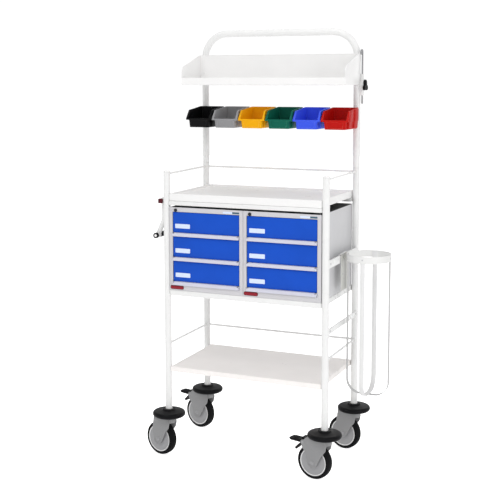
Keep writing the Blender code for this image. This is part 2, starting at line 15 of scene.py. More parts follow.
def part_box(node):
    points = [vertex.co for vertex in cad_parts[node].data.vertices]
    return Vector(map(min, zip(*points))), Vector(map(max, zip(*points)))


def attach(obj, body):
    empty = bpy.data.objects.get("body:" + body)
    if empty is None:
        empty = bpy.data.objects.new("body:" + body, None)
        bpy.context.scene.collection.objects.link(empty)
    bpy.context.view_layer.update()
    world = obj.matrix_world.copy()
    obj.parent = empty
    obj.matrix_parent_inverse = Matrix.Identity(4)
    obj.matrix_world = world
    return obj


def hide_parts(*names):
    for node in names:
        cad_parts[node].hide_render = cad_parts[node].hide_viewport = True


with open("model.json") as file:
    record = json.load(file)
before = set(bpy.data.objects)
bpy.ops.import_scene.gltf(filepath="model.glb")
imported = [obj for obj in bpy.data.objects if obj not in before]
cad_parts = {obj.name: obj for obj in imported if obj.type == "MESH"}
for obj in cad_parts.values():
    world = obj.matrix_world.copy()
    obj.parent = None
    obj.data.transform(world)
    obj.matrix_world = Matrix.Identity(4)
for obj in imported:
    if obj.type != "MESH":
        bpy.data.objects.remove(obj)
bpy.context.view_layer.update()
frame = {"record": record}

RECORD = frame["record"]
BODY = {node: body for body, nodes in RECORD["behaviour"]["bodies"].items() for node in nodes}
SIDES = ("left", "right")
TIERS = ("top", "middle", "bottom")
CASTERS = ("front_left", "front_right", "rear_left", "rear_right")

# Places are worked out from the centre of the rectangle of legs, which lies here in the frame
CENTRE = Vector(((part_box("front_leg_left")[0].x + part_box("front_leg_right")[1].x) / 2, 0, 0))


def box_of(node):
    """A node's lowest and highest corners at rest, from the centre of the legs."""
    low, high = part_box(node)
    return low - CENTRE, high - CENTRE


# Materials


def linked(tree, kind, **sockets):
    """Add a shader node and set or link its inputs, named with _ for a space."""
    node = tree.nodes.new(kind)
    for name, value in sockets.items():
        socket = node.inputs[name.replace("_", " ")]
        if isinstance(value, bpy.types.NodeSocket):
            tree.links.new(value, socket)
        else:
            socket.default_value = value
    return node


def mapped(tree, value, low, high, to_low, to_high):
    """A value carried from one range to another."""
    return linked(
        tree, "ShaderNodeMapRange", Value=value, From_Min=low, From_Max=high,
        To_Min=to_low, To_Max=to_high,
    ).outputs["Result"]


def noise(tree, place, scale, detail=2.0):
    """Noise of about -0.5 to 0.5 round 0.5, with a feature size of 1 / scale."""
    return linked(tree, "ShaderNodeTexNoise", Vector=place, Scale=scale, Detail=detail).outputs["Fac"]


def mixed(tree, factor, one, two):
    """One colour mixed into another."""
    node = tree.nodes.new("ShaderNodeMix")
    node.data_type = "RGBA"
    for socket, value in ((node.inputs[0], factor), (node.inputs[6], one), (node.inputs[7], two)):
        if isinstance(value, bpy.types.NodeSocket):
            tree.links.new(value, socket)
        else:
            socket.default_value = value
    return node.outputs[2]


def shade(colour, factor):
    """A colour made darker or lighter."""
    return (*(min(1.0, part * factor) for part in colour), 1.0)


def surface(
    name, colour, roughness, bumps, metallic=0.0, coat=0.0, coat_roughness=0.12, specular=0.3,
    mottle=0.05, mottle_scale=9.0, spread=0.07, edge=None, edge_radius=0.0008, stretch=(1, 1, 1),
):
    """A coated, moulded or metal surface with mottled colour, uneven gloss, grain and a painted highlight along
    its edges.

    bumps holds (scale, height) of each layer of grain; edge is (colour, amount) of the painted edge highlight.
    """
    made = bpy.data.materials.new(name)
    made.use_nodes = True
    tree = made.node_tree
    shader = tree.nodes["Principled BSDF"]
    place = tree.nodes.new("ShaderNodeTexCoord").outputs["Object"]
    broad = noise(tree, place, mottle_scale, 4.0)
    tone = mapped(tree, broad, 0.3, 0.7, 0.0, 1.0)
    base = mixed(tree, tone, shade(colour, 1 - mottle), shade(colour, 1 + mottle))
    speck = mapped(tree, noise(tree, place, 420.0, 3.0), 0.55, 0.8, 0.0, 0.35)
    base = mixed(tree, speck, base, shade(colour, 1 - 1.6 * mottle))
    gloss = noise(tree, place, mottle_scale * 3.1, 3.0)
    rough = mapped(tree, gloss, 0.25, 0.75, roughness - spread, roughness + spread)
    # Painted highlight: a lighter colour mixed in, in noisy patches, where the bevelled normal turns away from
    # the face normal at rounded edges
    if edge:
        edge_highlight, amount = edge
        soft = linked(tree, "ShaderNodeBevel", Radius=edge_radius)
        soft.samples = 4
        face = tree.nodes.new("ShaderNodeNewGeometry").outputs["Normal"]
        turn = tree.nodes.new("ShaderNodeVectorMath")
        turn.operation = "DOT_PRODUCT"
        tree.links.new(soft.outputs["Normal"], turn.inputs[0])
        tree.links.new(face, turn.inputs[1])
        mask = mapped(tree, turn.outputs["Value"], 0.99, 0.86, 0.0, amount)
        patchy = linked(tree, "ShaderNodeMath", Value=mask)
        patchy.operation = "MULTIPLY"
        patches = mapped(tree, noise(tree, place, 60.0, 3.0), 0.35, 0.6, 0.35, 1.0)
        tree.links.new(patches, patchy.inputs[1])
        base = mixed(tree, patchy.outputs[0], base, (*edge_highlight, 1.0))
    tree.links.new(base, shader.inputs["Base Color"])
    tree.links.new(rough, shader.inputs["Roughness"])
    shader.inputs["Metallic"].default_value = metallic
    shader.inputs["Coat Weight"].default_value = coat
    shader.inputs["Coat Roughness"].default_value = coat_roughness
    shader.inputs["Specular IOR Level"].default_value = specular
    stretched = linked(tree, "ShaderNodeMapping", Vector=place, Scale=stretch).outputs["Vector"]
    normal = None
    for scale, height in bumps:
        grain = linked(
            tree, "ShaderNodeBump", Height=noise(tree, stretched, scale, 3.0), Strength=1.0, Distance=height
        )
        if normal:
            tree.links.new(normal, grain.inputs["Normal"])
        normal = grain.outputs["Normal"]
    tree.links.new(normal, shader.inputs["Normal"])
    return made


# Layers of grain, each a scale and a height
ORANGE_PEEL = ((420.0, 0.00003), (1500.0, 0.000012))
MOULDED = ((900.0, 0.00003), (2600.0, 0.00002))
# Near-white colour mixed along the edges of grey paint and plastic as a painted highlight
EDGE_HIGHLIGHT_WHITE = (0.95, 0.95, 0.95)

white = surface("white_powder_coat", (0.85, 0.85, 0.845), 0.3, ORANGE_PEEL, coat=0.15, mottle=0.012)
sheet_white = surface("white_sheet_coat", (0.9, 0.895, 0.89), 0.34, ORANGE_PEEL, coat=0.2, mottle=0.018)
# Lighter and warmer than the worktop's coat: a warmer tint of its own, and painted light standing in for light
# the shelf lacks under the cabinets
shelf_white_painted_light = surface("shelf_sheet_coat_painted_light", (0.955, 0.917, 0.895), 0.34, ORANGE_PEEL, coat=0.2, mottle=0.018)
basket_white = surface("basket_white_coat", (0.82, 0.82, 0.81), 0.36, ORANGE_PEEL, mottle=0.03)
band_white = surface("basket_band_coat", (0.8, 0.8, 0.8), 0.38, ORANGE_PEEL, mottle=0.03)
# A darker copy of the band coat, as painted shade on the basket's side bands
side_band_painted_shade = surface(
    "basket_side_band_painted_shade", (0.53, 0.53, 0.53), 0.42, ORANGE_PEEL, specular=0.1, mottle=0.03
)
plate_white = surface("basket_plate_coat", (0.62, 0.62, 0.59), 0.4, ORANGE_PEEL, mottle=0.03)
LUMPY = ((300.0, 0.0002), (900.0, 0.0001))
weld_white = surface("weld_bead_coat", (0.8, 0.8, 0.79), 0.38, LUMPY, mottle=0.05)
cabinet_paint = surface(
    "cabinet_grey_paint", (0.63, 0.63, 0.645), 0.42, ORANGE_PEEL, mottle=0.02, edge=(EDGE_HIGHLIGHT_WHITE, 0.35)
)
face_paint = surface(
    "cabinet_face_paint", (0.62, 0.61, 0.635), 0.42, ORANGE_PEEL, mottle=0.02, edge=(EDGE_HIGHLIGHT_WHITE, 0.4)
)
drawer_paint = surface("drawer_tray_paint", (0.62, 0.62, 0.7), 0.4, ORANGE_PEEL, mottle=0.025)
grip_plastic = surface(
    "grip_strip_plastic", (0.64, 0.64, 0.74), 0.38, MOULDED, mottle=0.02, edge=(EDGE_HIGHLIGHT_WHITE, 0.4)
)
# The lighter blue given as edge is a painted highlight along the fronts' edges
front_paint = surface(
    "drawer_front_blue", (0.01, 0.083, 0.55), 0.42, ORANGE_PEEL, specular=0.1, mottle=0.05,
    edge=((0.06, 0.18, 0.75), 0.5),
)
label_plastic = surface("label_holder_plastic", (0.72, 0.81, 0.99), 0.25, MOULDED, mottle=0.01)
paper = surface("label_paper", (0.71, 0.8, 0.98), 0.7, ((700.0, 0.00004), (2200.0, 0.00003)), mottle=0.02)
tag_red = surface("red_tag_enamel", (0.29, 0.01, 0.022), 0.3, MOULDED, mottle=0.1)
tag_dark = surface("tag_rim_dark", (0.09, 0.006, 0.01), 0.45, MOULDED, mottle=0.1)
teal = surface("label_teal_end", (0.06, 0.12, 0.17), 0.45, MOULDED, mottle=0.08)
# Near-black painted shade for the cabinets' tops, where the gap under the worktop lies in shadow
cabinet_top_painted_shade = surface("painted_shade_grey", (0.03, 0.03, 0.03), 0.7, MOULDED, mottle=0.05)
lock_metal = surface("lock_dark_metal", (0.035, 0.036, 0.04), 0.38, MOULDED, metallic=0.4, mottle=0.1)
bright_steel = surface(
    "zinc_plated_steel", (0.62, 0.62, 0.63), 0.28, ((1300.0, 0.00002),), metallic=1.0, mottle=0.05
)
rod_steel = surface(
    "rod_brushed_steel", (0.36, 0.36, 0.37), 0.3, ((1800.0, 0.00002),), metallic=1.0, mottle=0.05,
    stretch=(1, 1, 0.06),
)
# The lighter edge colour is a painted highlight along edges
maroon = surface(
    "maroon_plastic", (0.085, 0.006, 0.012), 0.36, MOULDED, mottle=0.08, edge=((0.25, 0.05, 0.06), 0.5)
)
# The grey edge colour is a painted highlight along the black plastic's edges
black = surface(
    "black_moulded_plastic", (0.006, 0.006, 0.007), 0.5, MOULDED, specular=0.1, mottle=0.15,
    edge=((0.09, 0.09, 0.09), 0.5),
)
bumper_black = surface(
    "bumper_soft_plastic", (0.004, 0.004, 0.005), 0.42, ((700.0, 0.00004), (2200.0, 0.00002)), specular=0.11,
    mottle=0.2,
)
tyre_black = surface(
    "tyre_rubber", (0.007, 0.007, 0.008), 0.66, ((500.0, 0.00008), (1800.0, 0.00005)), specular=0.08,
    mottle=0.3,
)
# The lighter grey edge colour is a painted highlight along the housing's edges
caster_grey = surface(
    "caster_grey_plastic", (0.285, 0.285, 0.29), 0.46, MOULDED, specular=0.2, mottle=0.04,
    edge=((0.5, 0.5, 0.5), 0.5),
)
hub_grey = surface("hub_cover_grey", (0.35, 0.35, 0.36), 0.46, MOULDED, specular=0.2, mottle=0.04)
# Pale colour on the hub's raised rim ring: a painted highlight
hub_rim_highlight = surface("wheel_rim_painted_highlight", (0.78, 0.78, 0.78), 0.35, MOULDED, mottle=0.03)
# Each bin's colour, and the lighter colour painted along its edges as a highlight
BIN_LOOKS = {
    "black": ((0.0035, 0.0035, 0.0042), (0.05, 0.05, 0.05)),
    "grey": ((0.3, 0.3, 0.31), (0.55, 0.55, 0.57)),
    "yellow": ((0.88, 0.42, 0.003), (1.0, 0.66, 0.12)),
    "green": ((0.004, 0.122, 0.08), (0.08, 0.33, 0.25)),
    "blue": ((0.05, 0.105, 0.82), (0.22, 0.32, 0.98)),
    "red": ((0.5, 0.006, 0.004), (0.85, 0.14, 0.1)),
}
bin_plastic = {
    name: surface(
        f"bin_plastic_{name}", colour, 0.4, MOULDED, specular=0.1, mottle=0.05, edge=(edge_highlight, 0.7),
        edge_radius=0.0012,
    )
    for name, (colour, edge_highlight) in BIN_LOOKS.items()
}


# Mesh building


def added(name, data):
    """Put an object in the scene."""
    obj = bpy.data.objects.new(name, data)
    bpy.context.scene.collection.objects.link(obj)
    return obj


def loaded(mesh):
    """An editable copy of a mesh."""
    bm = bmesh.new()
    bm.from_mesh(mesh)
    return bm


def stored(bm, mesh=None):
    """Write an editable mesh back to its mesh, or to a new one."""
    mesh = mesh or bpy.data.meshes.new("shape")
    bm.to_mesh(mesh)
    bm.free()
    return mesh


def mesh_of(bm):
    """Face every face outwards and hand the mesh over."""
    bmesh.ops.recalc_face_normals(bm, faces=bm.faces)
    return stored(bm)


def skin(rings, closed=False):
    """Join rings of equal length, and cap the ends unless they meet."""
    bm = bmesh.new()
    made = [[bm.verts.new(point) for point in ring] for ring in rings]
    pairs = list(zip(made, made[1:]))
    if closed:
        pairs.append((made[-1], made[0]))
    else:
        bm.faces.new(made[0])
        bm.faces.new(made[-1])
    for one, two in pairs:
        for i in range(len(one)):
            j = (i + 1) % len(one)
            bm.faces.new((one[i], one[j], two[j], two[i]))
    return mesh_of(bm)


def arc(centre, radius, start, end, steps):
    """Points on an arc, in degrees, both ends included."""
    turns = [math.radians(start + (end - start) * i / steps) for i in range(steps + 1)]
    return [(centre[0] + radius * math.cos(t), centre[1] + radius * math.sin(t)) for t in turns]


def circle(centre, radius, sides):
    """Points round a circle."""
    return arc(centre, radius, 0, 360, sides)[:-1]


def rounded(half_x, half_y, radius, steps=5):
    """A rectangle round the origin with rounded corners."""
    outline = []
    for sx, sy, start in ((1, 1, 0), (-1, 1, 90), (-1, -1, 180), (1, -1, 270)):
        middle = (sx * (half_x - radius), sy * (half_y - radius))
        outline += arc(middle, radius, start, start + 90, steps)
    return outline


def around(x, y, half_x, half_y, radius, steps=5):
    """A rounded rectangle round a point."""
    return [(x + u, y + v) for u, v in rounded(half_x, half_y, radius, steps)]


def stacked(levels, centre=(0.0, 0.0), steps=5):
    """A solid through rounded rectangles of (half x, half y, corner radius, height)."""
    cx, cy = centre
    return skin(
        [
            [(cx + x, cy + y, height) for x, y in rounded(half_x, half_y, radius, steps)]
            for half_x, half_y, radius, height in levels
        ]
    )


PLACES = {
    "X": lambda u, v, w: (w, u, v),
    "Y": lambda u, v, w: (u, w, v),
    "Z": lambda u, v, w: (u, v, w),
}


def eased(mesh, radius, segments=3, over=25):
    """Round off every edge sharper than an angle in degrees."""
    bm = loaded(mesh)
    edges = [e for e in bm.edges if len(e.link_faces) == 2 and e.calc_face_angle(0) > math.radians(over)]
    bmesh.ops.bevel(
        bm, geom=edges, offset=radius, segments=segments, profile=0.5, affect="EDGES", clamp_overlap=True
    )
    bmesh.ops.remove_doubles(bm, verts=bm.verts, dist=1e-6)
    return mesh_of(bm)


def plate(outline, axis, span, radius=0.0, segments=2):
    """A flat outline carried along one axis between two limits, with eased edges."""
    place = PLACES[axis]
    mesh = skin([[place(u, v, w) for u, v in outline] for w in span])
    return eased(mesh, radius, segments) if radius else mesh


def block(x, y, z, radius, segments=3):
    """A box between the limits of each axis, with rounded edges."""
    outline = [(x[0], y[0]), (x[1], y[0]), (x[1], y[1]), (x[0], y[1])]
    return plate(outline, "Z", z, radius, segments)


def lathe(profile, sides=48, loop=False, marks=None):
    """Spin a profile of (radius, height) about Z; marks gives each band's material index."""
    bm = bmesh.new()
    rings = []
    for radius, height in profile:
        count = sides if radius > 0 else 1
        turns = [math.tau * i / count for i in range(count)]
        rings.append([bm.verts.new((radius * math.cos(t), radius * math.sin(t), height)) for t in turns])
    pairs = list(zip(rings, rings[1:])) + ([(rings[-1], rings[0])] if loop else [])
    for k, (one, two) in enumerate(pairs):
        for i in range(sides):
            j = (i + 1) % sides
            corners = (one[i % len(one)], one[j % len(one)], two[j % len(two)], two[i % len(two)])
            face = bm.faces.new(list(dict.fromkeys(corners)))
            face.material_index = marks[k] if marks else 0
    return mesh_of(bm)


def peg(radius, low, high, sides=20):
    """A plain cylinder about Z between two heights."""
    return lathe(((0, low), (radius, low), (radius, high), (0, high)), sides)


def placed(mesh, *matrices):
    """Move a mesh by matrices, the first one first."""
    for matrix in matrices:
        mesh.transform(matrix)
    return mesh


def at(x, y, z):
    """A move."""
    return Matrix.Translation((x, y, z))


def turned(degrees, axis):
    """A turn about one axis."""
    return Matrix.Rotation(math.radians(degrees), 4, axis)


# Turns that point +Z along +X, +Y and -Y
TO_X = turned(90, "Y")
TO_Y = turned(-90, "X")
TO_FRONT = turned(90, "X")


def bent(corners, radius, steps):
    """A path through corners, each rounded to the radius."""
    points = [Vector(corner) for corner in corners]
    path = [points[0]]
    for before, corner, after in zip(points, points[1:], points[2:]):
        back = (before - corner).normalized()
        on = (after - corner).normalized()
        half = back.angle(on) / 2
        middle = corner + (back + on).normalized() * (radius / math.sin(half))
        start = corner + back * (radius / math.tan(half)) - middle
        axis = back.cross(on).normalized()
        for i in range(steps + 1):
            turn = Matrix.Rotation(-(math.pi - 2 * half) * i / steps, 3, axis)
            path.append(middle + turn @ start)
    return path + [points[-1]]


def directions(path):
    """The direction of a path at each of its points, and how far a mitre stretches there."""
    found = []
    for i, point in enumerate(path):
        back = (point - path[max(i - 1, 0)]).normalized()
        on = (path[min(i + 1, len(path) - 1)] - point).normalized()
        along = (back + on).normalized()
        found.append((along, 1 / max(along.dot(on if i == 0 else back), 0.5)))
    return found


def sweep(path, section, normal):
    """Carry a section (out of plane, in plane) along a path in one plane."""
    normal = Vector(normal)
    path = [Vector(point) for point in path]
    rings = []
    for point, (along, stretch) in zip(path, directions(path)):
        across = along.cross(normal)
        rings.append([point + normal * u + across * (v * stretch) for u, v in section])
    return skin(rings)


def pipe(path, radius, sides=24, domed=False):
    """A round bar along any path, with flat or domed ends."""
    path = [Vector(point) for point in path]
    found = directions(path)
    side = found[0][0].orthogonal().normalized()
    rings = []
    for point, (along, _) in zip(path, found):
        side = (side - along * side.dot(along)).normalized()
        rings.append((point, along, side, radius))
    if domed:
        ends = []
        for (point, along, side, _), sign in ((rings[0], -1), (rings[-1], 1)):
            lift = [(math.sin(math.radians(t)), math.cos(math.radians(t))) for t in (35, 65, 85)]
            ends.append([(point + along * (sign * radius * s), along, side, radius * c) for s, c in lift])
        rings = ends[0][::-1] + rings + ends[1]
    loops = []
    for point, along, side, size in rings:
        other = along.cross(side)
        loops.append([point + side * u + other * v for u, v in circle((0, 0), size, sides)])
    return skin(loops)


def marked(mesh, index):
    """Give the whole mesh one material index."""
    bm = loaded(mesh)
    for face in bm.faces:
        face.material_index = index
    return stored(bm, mesh)


def joined(*meshes):
    """Several closed shells as one mesh, each with its own material indices."""
    bm = bmesh.new()
    for mesh in meshes:
        bm.from_mesh(mesh)
    return stored(bm)


def combined(base, add=(), cut=()):
    """The mesh left after joining and then cutting, by exact Booleans."""
    body = added("body", base)
    helpers = [body]
    for operation, meshes in (("UNION", add), ("DIFFERENCE", cut)):
        for mesh in meshes:
            helpers.append(added("helper", mesh))
            step = body.modifiers.new("step", "BOOLEAN")
            step.operation = operation
            step.object = helpers[-1]
    result = bpy.data.meshes.new_from_object(body.evaluated_get(bpy.context.evaluated_depsgraph_get()))
    for helper in helpers:
        bpy.data.objects.remove(helper)
    return result


def piece(name, mesh, looks, stands_for=(), like=None, crease=40):
    """Add one piece, which rides with the nodes that it stands for or with the node it goes on."""
    mesh.name = name
    mesh.transform(at(*CENTRE))
    for look in looks if isinstance(looks, (list, tuple)) else (looks,):
        mesh.materials.append(look)
    mesh.shade_smooth()
    mesh.set_sharp_from_angle(angle=math.radians(crease))
    obj = added(name, mesh)
    nodes = (stands_for,) if isinstance(stands_for, str) else tuple(stands_for)
    guide = like or nodes[0]
    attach(obj, BODY[guide])
    if nodes:
        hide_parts(*nodes)
    return obj


def middle(node):
    """The centre of a node's box."""
    low, high = box_of(node)
    return (low + high) / 2


def screw(radius=0.0036, height=0.0018):
    """A pan head on its own axis, with a round drive recess."""
    return lathe(
        (
            (0, 0.0), (radius, 0.0), (radius, height * 0.35), (radius * 0.86, height * 0.8),
            (radius * 0.55, height), (radius * 0.42, height), (radius * 0.36, height * 0.3), (0, height * 0.3),
        ),
        24,
    )


# Frame tubes

LEG_R = (box_of("front_leg_left")[1].x - box_of("front_leg_left")[0].x) / 2
legs = {name: middle(name) for name in ("front_leg_left", "front_leg_right", "rear_leg_left", "rear_leg_right")}
for node, centre in legs.items():
    low, high = box_of(node)
    profile = [(0, low.z), (LEG_R - 0.0008, low.z), (LEG_R, low.z + 0.0008)]
    if node.startswith("front"):
        profile += [(LEG_R, high.z - 0.0056), (LEG_R - 0.0009, high.z - 0.0054), (0, high.z - 0.0054)]
        cap = [(0, high.z - 0.0052), (LEG_R - 0.0006, high.z - 0.0052), (LEG_R, high.z - 0.0048)]
        cap += [(LEG_R, high.z - 0.0026)]
        cap += [(r, z) for r, z in arc((LEG_R - 0.0024, high.z - 0.003), 0.0024, 10, 80, 4)]
        cap += [(LEG_R * 0.45, high.z - 0.0002), (0, high.z)]
        side = node.split("_")[-1]
        piece(f"leg_cap_{side}", placed(lathe(cap), at(centre.x, centre.y, 0)), sheet_white, like=node)
    else:
        profile += [(LEG_R, high.z - 0.0004), (LEG_R - 0.0006, high.z), (0, high.z)]
    piece(node + "_tube", placed(lathe(profile), at(centre.x, centre.y, 0)), white, node)

low, high = box_of("mast_hoop")
HOOP_TOP = high.z - LEG_R
REAR_Y = legs["rear_leg_left"].y
LEG_X = legs["rear_leg_right"].x
corners = (
    (-LEG_X, REAR_Y, low.z + 0.0004), (-LEG_X, REAR_Y, HOOP_TOP), (LEG_X, REAR_Y, HOOP_TOP),
    (LEG_X, REAR_Y, low.z + 0.0004),
)
piece("mast_hoop_tube", pipe(bent(corners, 0.09, 22), LEG_R, 40), white, "mast_hoop")

ROD = middle("infusion_rod")
rod_low, rod_high = box_of("infusion_rod")
ROD_R = (rod_high.x - rod_low.x) / 2
# The knob turns about the middle of its three lobes, which is below the middle of its box
KNOB_LOBE_R, KNOB_WAIST = 0.023, 0.0064
KNOB = middle("clamp_knob")
KNOB.z = box_of("clamp_knob")[1].z - KNOB_LOBE_R
SOCKET_Z = (KNOB.z - 0.0335, KNOB.z + 0.0425)
socket = block((LEG_X + LEG_R - 0.003, high.x), (REAR_Y - 0.0065, REAR_Y + 0.0065), SOCKET_Z, 0.0022)
bore = placed(peg(ROD_R + 0.0006, -0.06, 0.06, 24), at(ROD.x, REAR_Y, KNOB.z))
pin_bore = placed(peg(0.003, -0.004, 0.002), TO_X, at(high.x, REAR_Y, KNOB.z))
boss = ((0.0034, 0.0), (0.0075, 0.0), (0.0075, 0.0002), (0.0066, 0.0005), (0.0034, 0.0005))
boss = placed(lathe(boss, 32, loop=True), TO_X, at(high.x - 0.0004, REAR_Y, KNOB.z))
piece("rod_socket", joined(combined(socket, cut=[bore, pin_bore]), boss), white, like="mast_hoop")


def worktop_lugs():
    """Two plates welded to the left rail, which carry the handle's pivot rod."""
    pivot = middle("handle_pivot")
    outline = arc((pivot.x, pivot.z), 0.0084, 90, 270, 14)
    outline += [(-0.2868, pivot.z - 0.0084), (-0.2868, pivot.z + 0.0012)]
    outline += [(-0.289, pivot.z + 0.0016), (-0.292, pivot.z + 0.0084)]
    return [plate(outline, "Y", (y - 0.0025, y + 0.0025), 0.0005) for y in (-0.128, 0.128)]


ring_low, ring_high = box_of("cabinet_frame")


def ring_mesh(low, high):
    """A ring of square tube with rounded edges and mitred corners."""
    half_z = (high - low) / 2
    rings = []
    for u, v in rounded(0.01, half_z, 0.0024, 4):
        inset = 0.01 + u
        outline = rounded(ring_high.x - inset, ring_high.y - inset, max(0.0045 - inset, 0.0012), 4)
        rings.append([(x, y, low + half_z + v) for x, y in outline])
    return skin(rings, closed=True)


def worktop_rails(heights):
    """Square tube across the front and back, along the left side, and inset on the right."""
    wide, deep, tube = ring_high.x, ring_high.y, 0.02
    along = (0.001 - deep, deep - 0.001)
    spans = (
        ((-wide, wide), (-deep, tube - deep)), ((-wide, wide), (deep - tube, deep)),
        ((-wide, tube - wide), along), ((0.15, 0.17), along),
    )
    return [block(x, y, heights, 0.0022) for x, y in spans]


# The rails are a little slimmer from below than the CAD's, as in the photograph
WORKTOP_RING = (box_of("worktop")[0].z - 0.016, box_of("worktop")[0].z - 0.0005)
piece("worktop_ring", joined(*worktop_rails(WORKTOP_RING), *worktop_lugs()), white, "worktop_frame")
piece("cabinet_ring", ring_mesh(ring_low.z, ring_high.z), white, "cabinet_frame")

FRONT_Y = legs["front_leg_left"].y
beads = []


def bead(turn, x, y, z):
    """Add a weld bead round a guard rod's end: a ring about Z, turned and moved into place."""
    beads.append(placed(lathe(circle((0.0044, 0), 0.0012, 8), 28, loop=True), turn, at(x, y, z)))


def corner_beads(y, low_z, high_z, radius):
    """Add the four upright weld beads where a ring or a shelf meets the legs."""
    for sign_x in (-1, 1):
        for sign_y in (-1, 1):
            line = [(sign_x * 0.2872, sign_y * y, z) for z in (low_z + 0.003, high_z - 0.003)]
            beads.append(pipe(line, radius, 10, domed=True))


for node in ("worktop_gallery", "lower_gallery"):
    z = middle(node).z
    front = FRONT_Y + 0.011
    path = bent(((-LEG_X, front, z), (-LEG_X, REAR_Y, z), (LEG_X, REAR_Y, z), (LEG_X, front, z)), 0.006, 6)
    piece(node + "_rod", pipe(path, 0.004, 20), white, node)
    for x in (-LEG_X, LEG_X):
        bead(TO_Y, x, FRONT_Y + LEG_R + 0.0002, z)
        bead(TO_Y, x, REAR_Y - LEG_R - 0.0002, z)
        bead(TO_X, math.copysign(LEG_X - LEG_R - 0.0002, x), REAR_Y, z)
for heights in (WORKTOP_RING, (ring_low.z, ring_high.z)):
    corner_beads(0.1735, *heights, 0.0013)
low, high = box_of("lower_shelf")
corner_beads(0.172, low.z, high.z, 0.0012)
for z in SOCKET_Z:
    line = [(LEG_X + LEG_R - 0.0006, REAR_Y + y, z) for y in (-0.005, 0.005)]
    beads.append(pipe(line, 0.0012, 10, domed=True))
piece("weld_beads", joined(*beads), weld_white, like="worktop_frame")


# Sheet-metal trays


def folded_tray(half_x, half_y, low, high, rim, depth, corner=0.004):
    """A folded top, with a rim round a dish if the depth is above 0, and hollow below."""
    levels = [
        (half_x - 0.011, half_y - 0.011, 0.002, low + 0.0022),
        (half_x - 0.011, half_y - 0.011, 0.002, low + 0.0004),
        (half_x - 0.0012, half_y - 0.0012, corner - 0.001, low),
        (half_x, half_y, corner, low + 0.0012),
    ]
    edge = 0.0018
    levels += [
        (half_x - edge + u, half_y - edge + u, corner, high - edge + v)
        for u, v in arc((0, 0), edge, 0, 90, 4)
    ]
    if depth:
        levels += [
            (half_x - rim - u, half_y - rim - u, corner, high - 0.0012 + v)
            for u, v in arc((0, 0), 0.0012, 90, 0, 3)
        ]
        floor = high - depth
        inner = rim + 0.0012
        levels += [
            (half_x - inner - 0.0022 + u, half_y - inner - 0.0022 + u, corner + 0.001, floor + 0.0022 + v)
            for u, v in arc((0, 0), 0.0022, 0, -90, 4)
        ]
    top = levels[-1]
    return stacked(levels + [(top[0] - 0.02, top[1] - 0.02, corner, top[3])])


for name, node, rim, depth, skin_thick, look in (
    ("worktop_tray", "worktop", 0.0062, 0.008, 0.01, sheet_white),
    ("lower_shelf_tray", "lower_shelf", 0, 0, 0.002, shelf_white_painted_light),
):
    low, high = box_of(node)
    tray = folded_tray(high.x, high.y, low.z, high.z, rim, depth)
    x, y = high.x - 0.0115, high.y - 0.0115
    hollow = stacked([(x, y, 0.003, low.z - 0.01), (x, y, 0.003, high.z - skin_thick)])
    piece(name, combined(tray, cut=[hollow]), look, node)

low, high = box_of("upper_shelf")
SHEET = 0.002
lip_top = 1.383
front_top = 1.421
run = bent(
    (
        (0, low.y + SHEET / 2, lip_top - 0.001), (0, low.y + SHEET / 2, low.z + SHEET / 2),
        (0, high.y - SHEET / 2, low.z + SHEET / 2), (0, high.y - SHEET / 2, high.z - 0.001),
    ),
    0.0035, 6,
)
half = high.x - 0.0008
trough = sweep(run, [(half, 0.001), (-half, 0.001), (-half, -0.001), (half, -0.001)], (1, 0, 0))
cheek = [(low.y + 0.004, low.z + 0.0002), (high.y - 0.0002, low.z + 0.0002)]
cheek += [(high.y - 0.0002, high.z - 0.0006), (high.y - 0.0122, high.z - 0.0006)]
cheek += arc((low.y + 0.0242, front_top - 0.019), 0.024, 105, 180, 10)
cheek += [(low.y + 0.0002, low.z + 0.004)]
cheeks = [plate(cheek, "X", span, 0.0006) for span in ((-high.x, -high.x + SHEET), (high.x - SHEET, high.x))]
HEM_R = 0.0016
hems = []
for y, z in ((low.y + HEM_R, lip_top - HEM_R), (high.y - HEM_R, high.z - HEM_R)):
    hems.append(pipe([(x, y, z) for x in (0.001 - high.x, high.x - 0.001)], HEM_R, 14))
for x in (HEM_R - high.x, high.x - HEM_R):
    rim = cheek[3:15] + [(low.y + HEM_R, lip_top - 0.002)]
    hems.append(pipe([(x, max(y, low.y + HEM_R), z - 0.0012) for y, z in rim], 0.0015, 12, domed=True))
piece("upper_tray", joined(trough, *cheeks, *hems), sheet_white, "upper_shelf")

fixings = []
for sign in (-1, 1):
    for z in (1.4, 1.445):
        fixings.append(marked(placed(screw(), TO_FRONT, at(sign * 0.298, high.y - SHEET, z)), 1))

low, high = box_of("bin_rail")
piece("bin_rail_strip", block(*zip(low, high), 0.0007, 2), white, "bin_rail")
for sign in (-1, 1):
    fixings.append(placed(screw(), TO_FRONT, at(sign * 0.3062, low.y, (low.z + high.z) / 2)))

for node in ("side_rail_upper", "side_rail_lower"):
    low, high = box_of(node)
    piece(node + "_bar", block(*zip(low, high), 0.0011), white, node)
    for y in (low.y + 0.01, high.y - 0.01):
        fixings.append(placed(screw(0.004, 0.0011), TO_X, at(high.x, y, (low.z + high.z) / 2)))
piece("fixing_screws", joined(*fixings), (bright_steel, sheet_white), like="worktop_frame")


# Bins


def bin_level(front_half, rear_half, front, rear, radius, z):
    """A rounded section of the bin at one height, wider at the back than at the front."""
    centre, depth = (front + rear) / 2, rear - front
    ring = []
    for x, y in rounded(front_half, depth / 2, radius, 4):
        widen = 1 + (rear_half / front_half - 1) * (y / depth + 0.5)
        ring.append((x * widen, y + centre, z))
    return ring


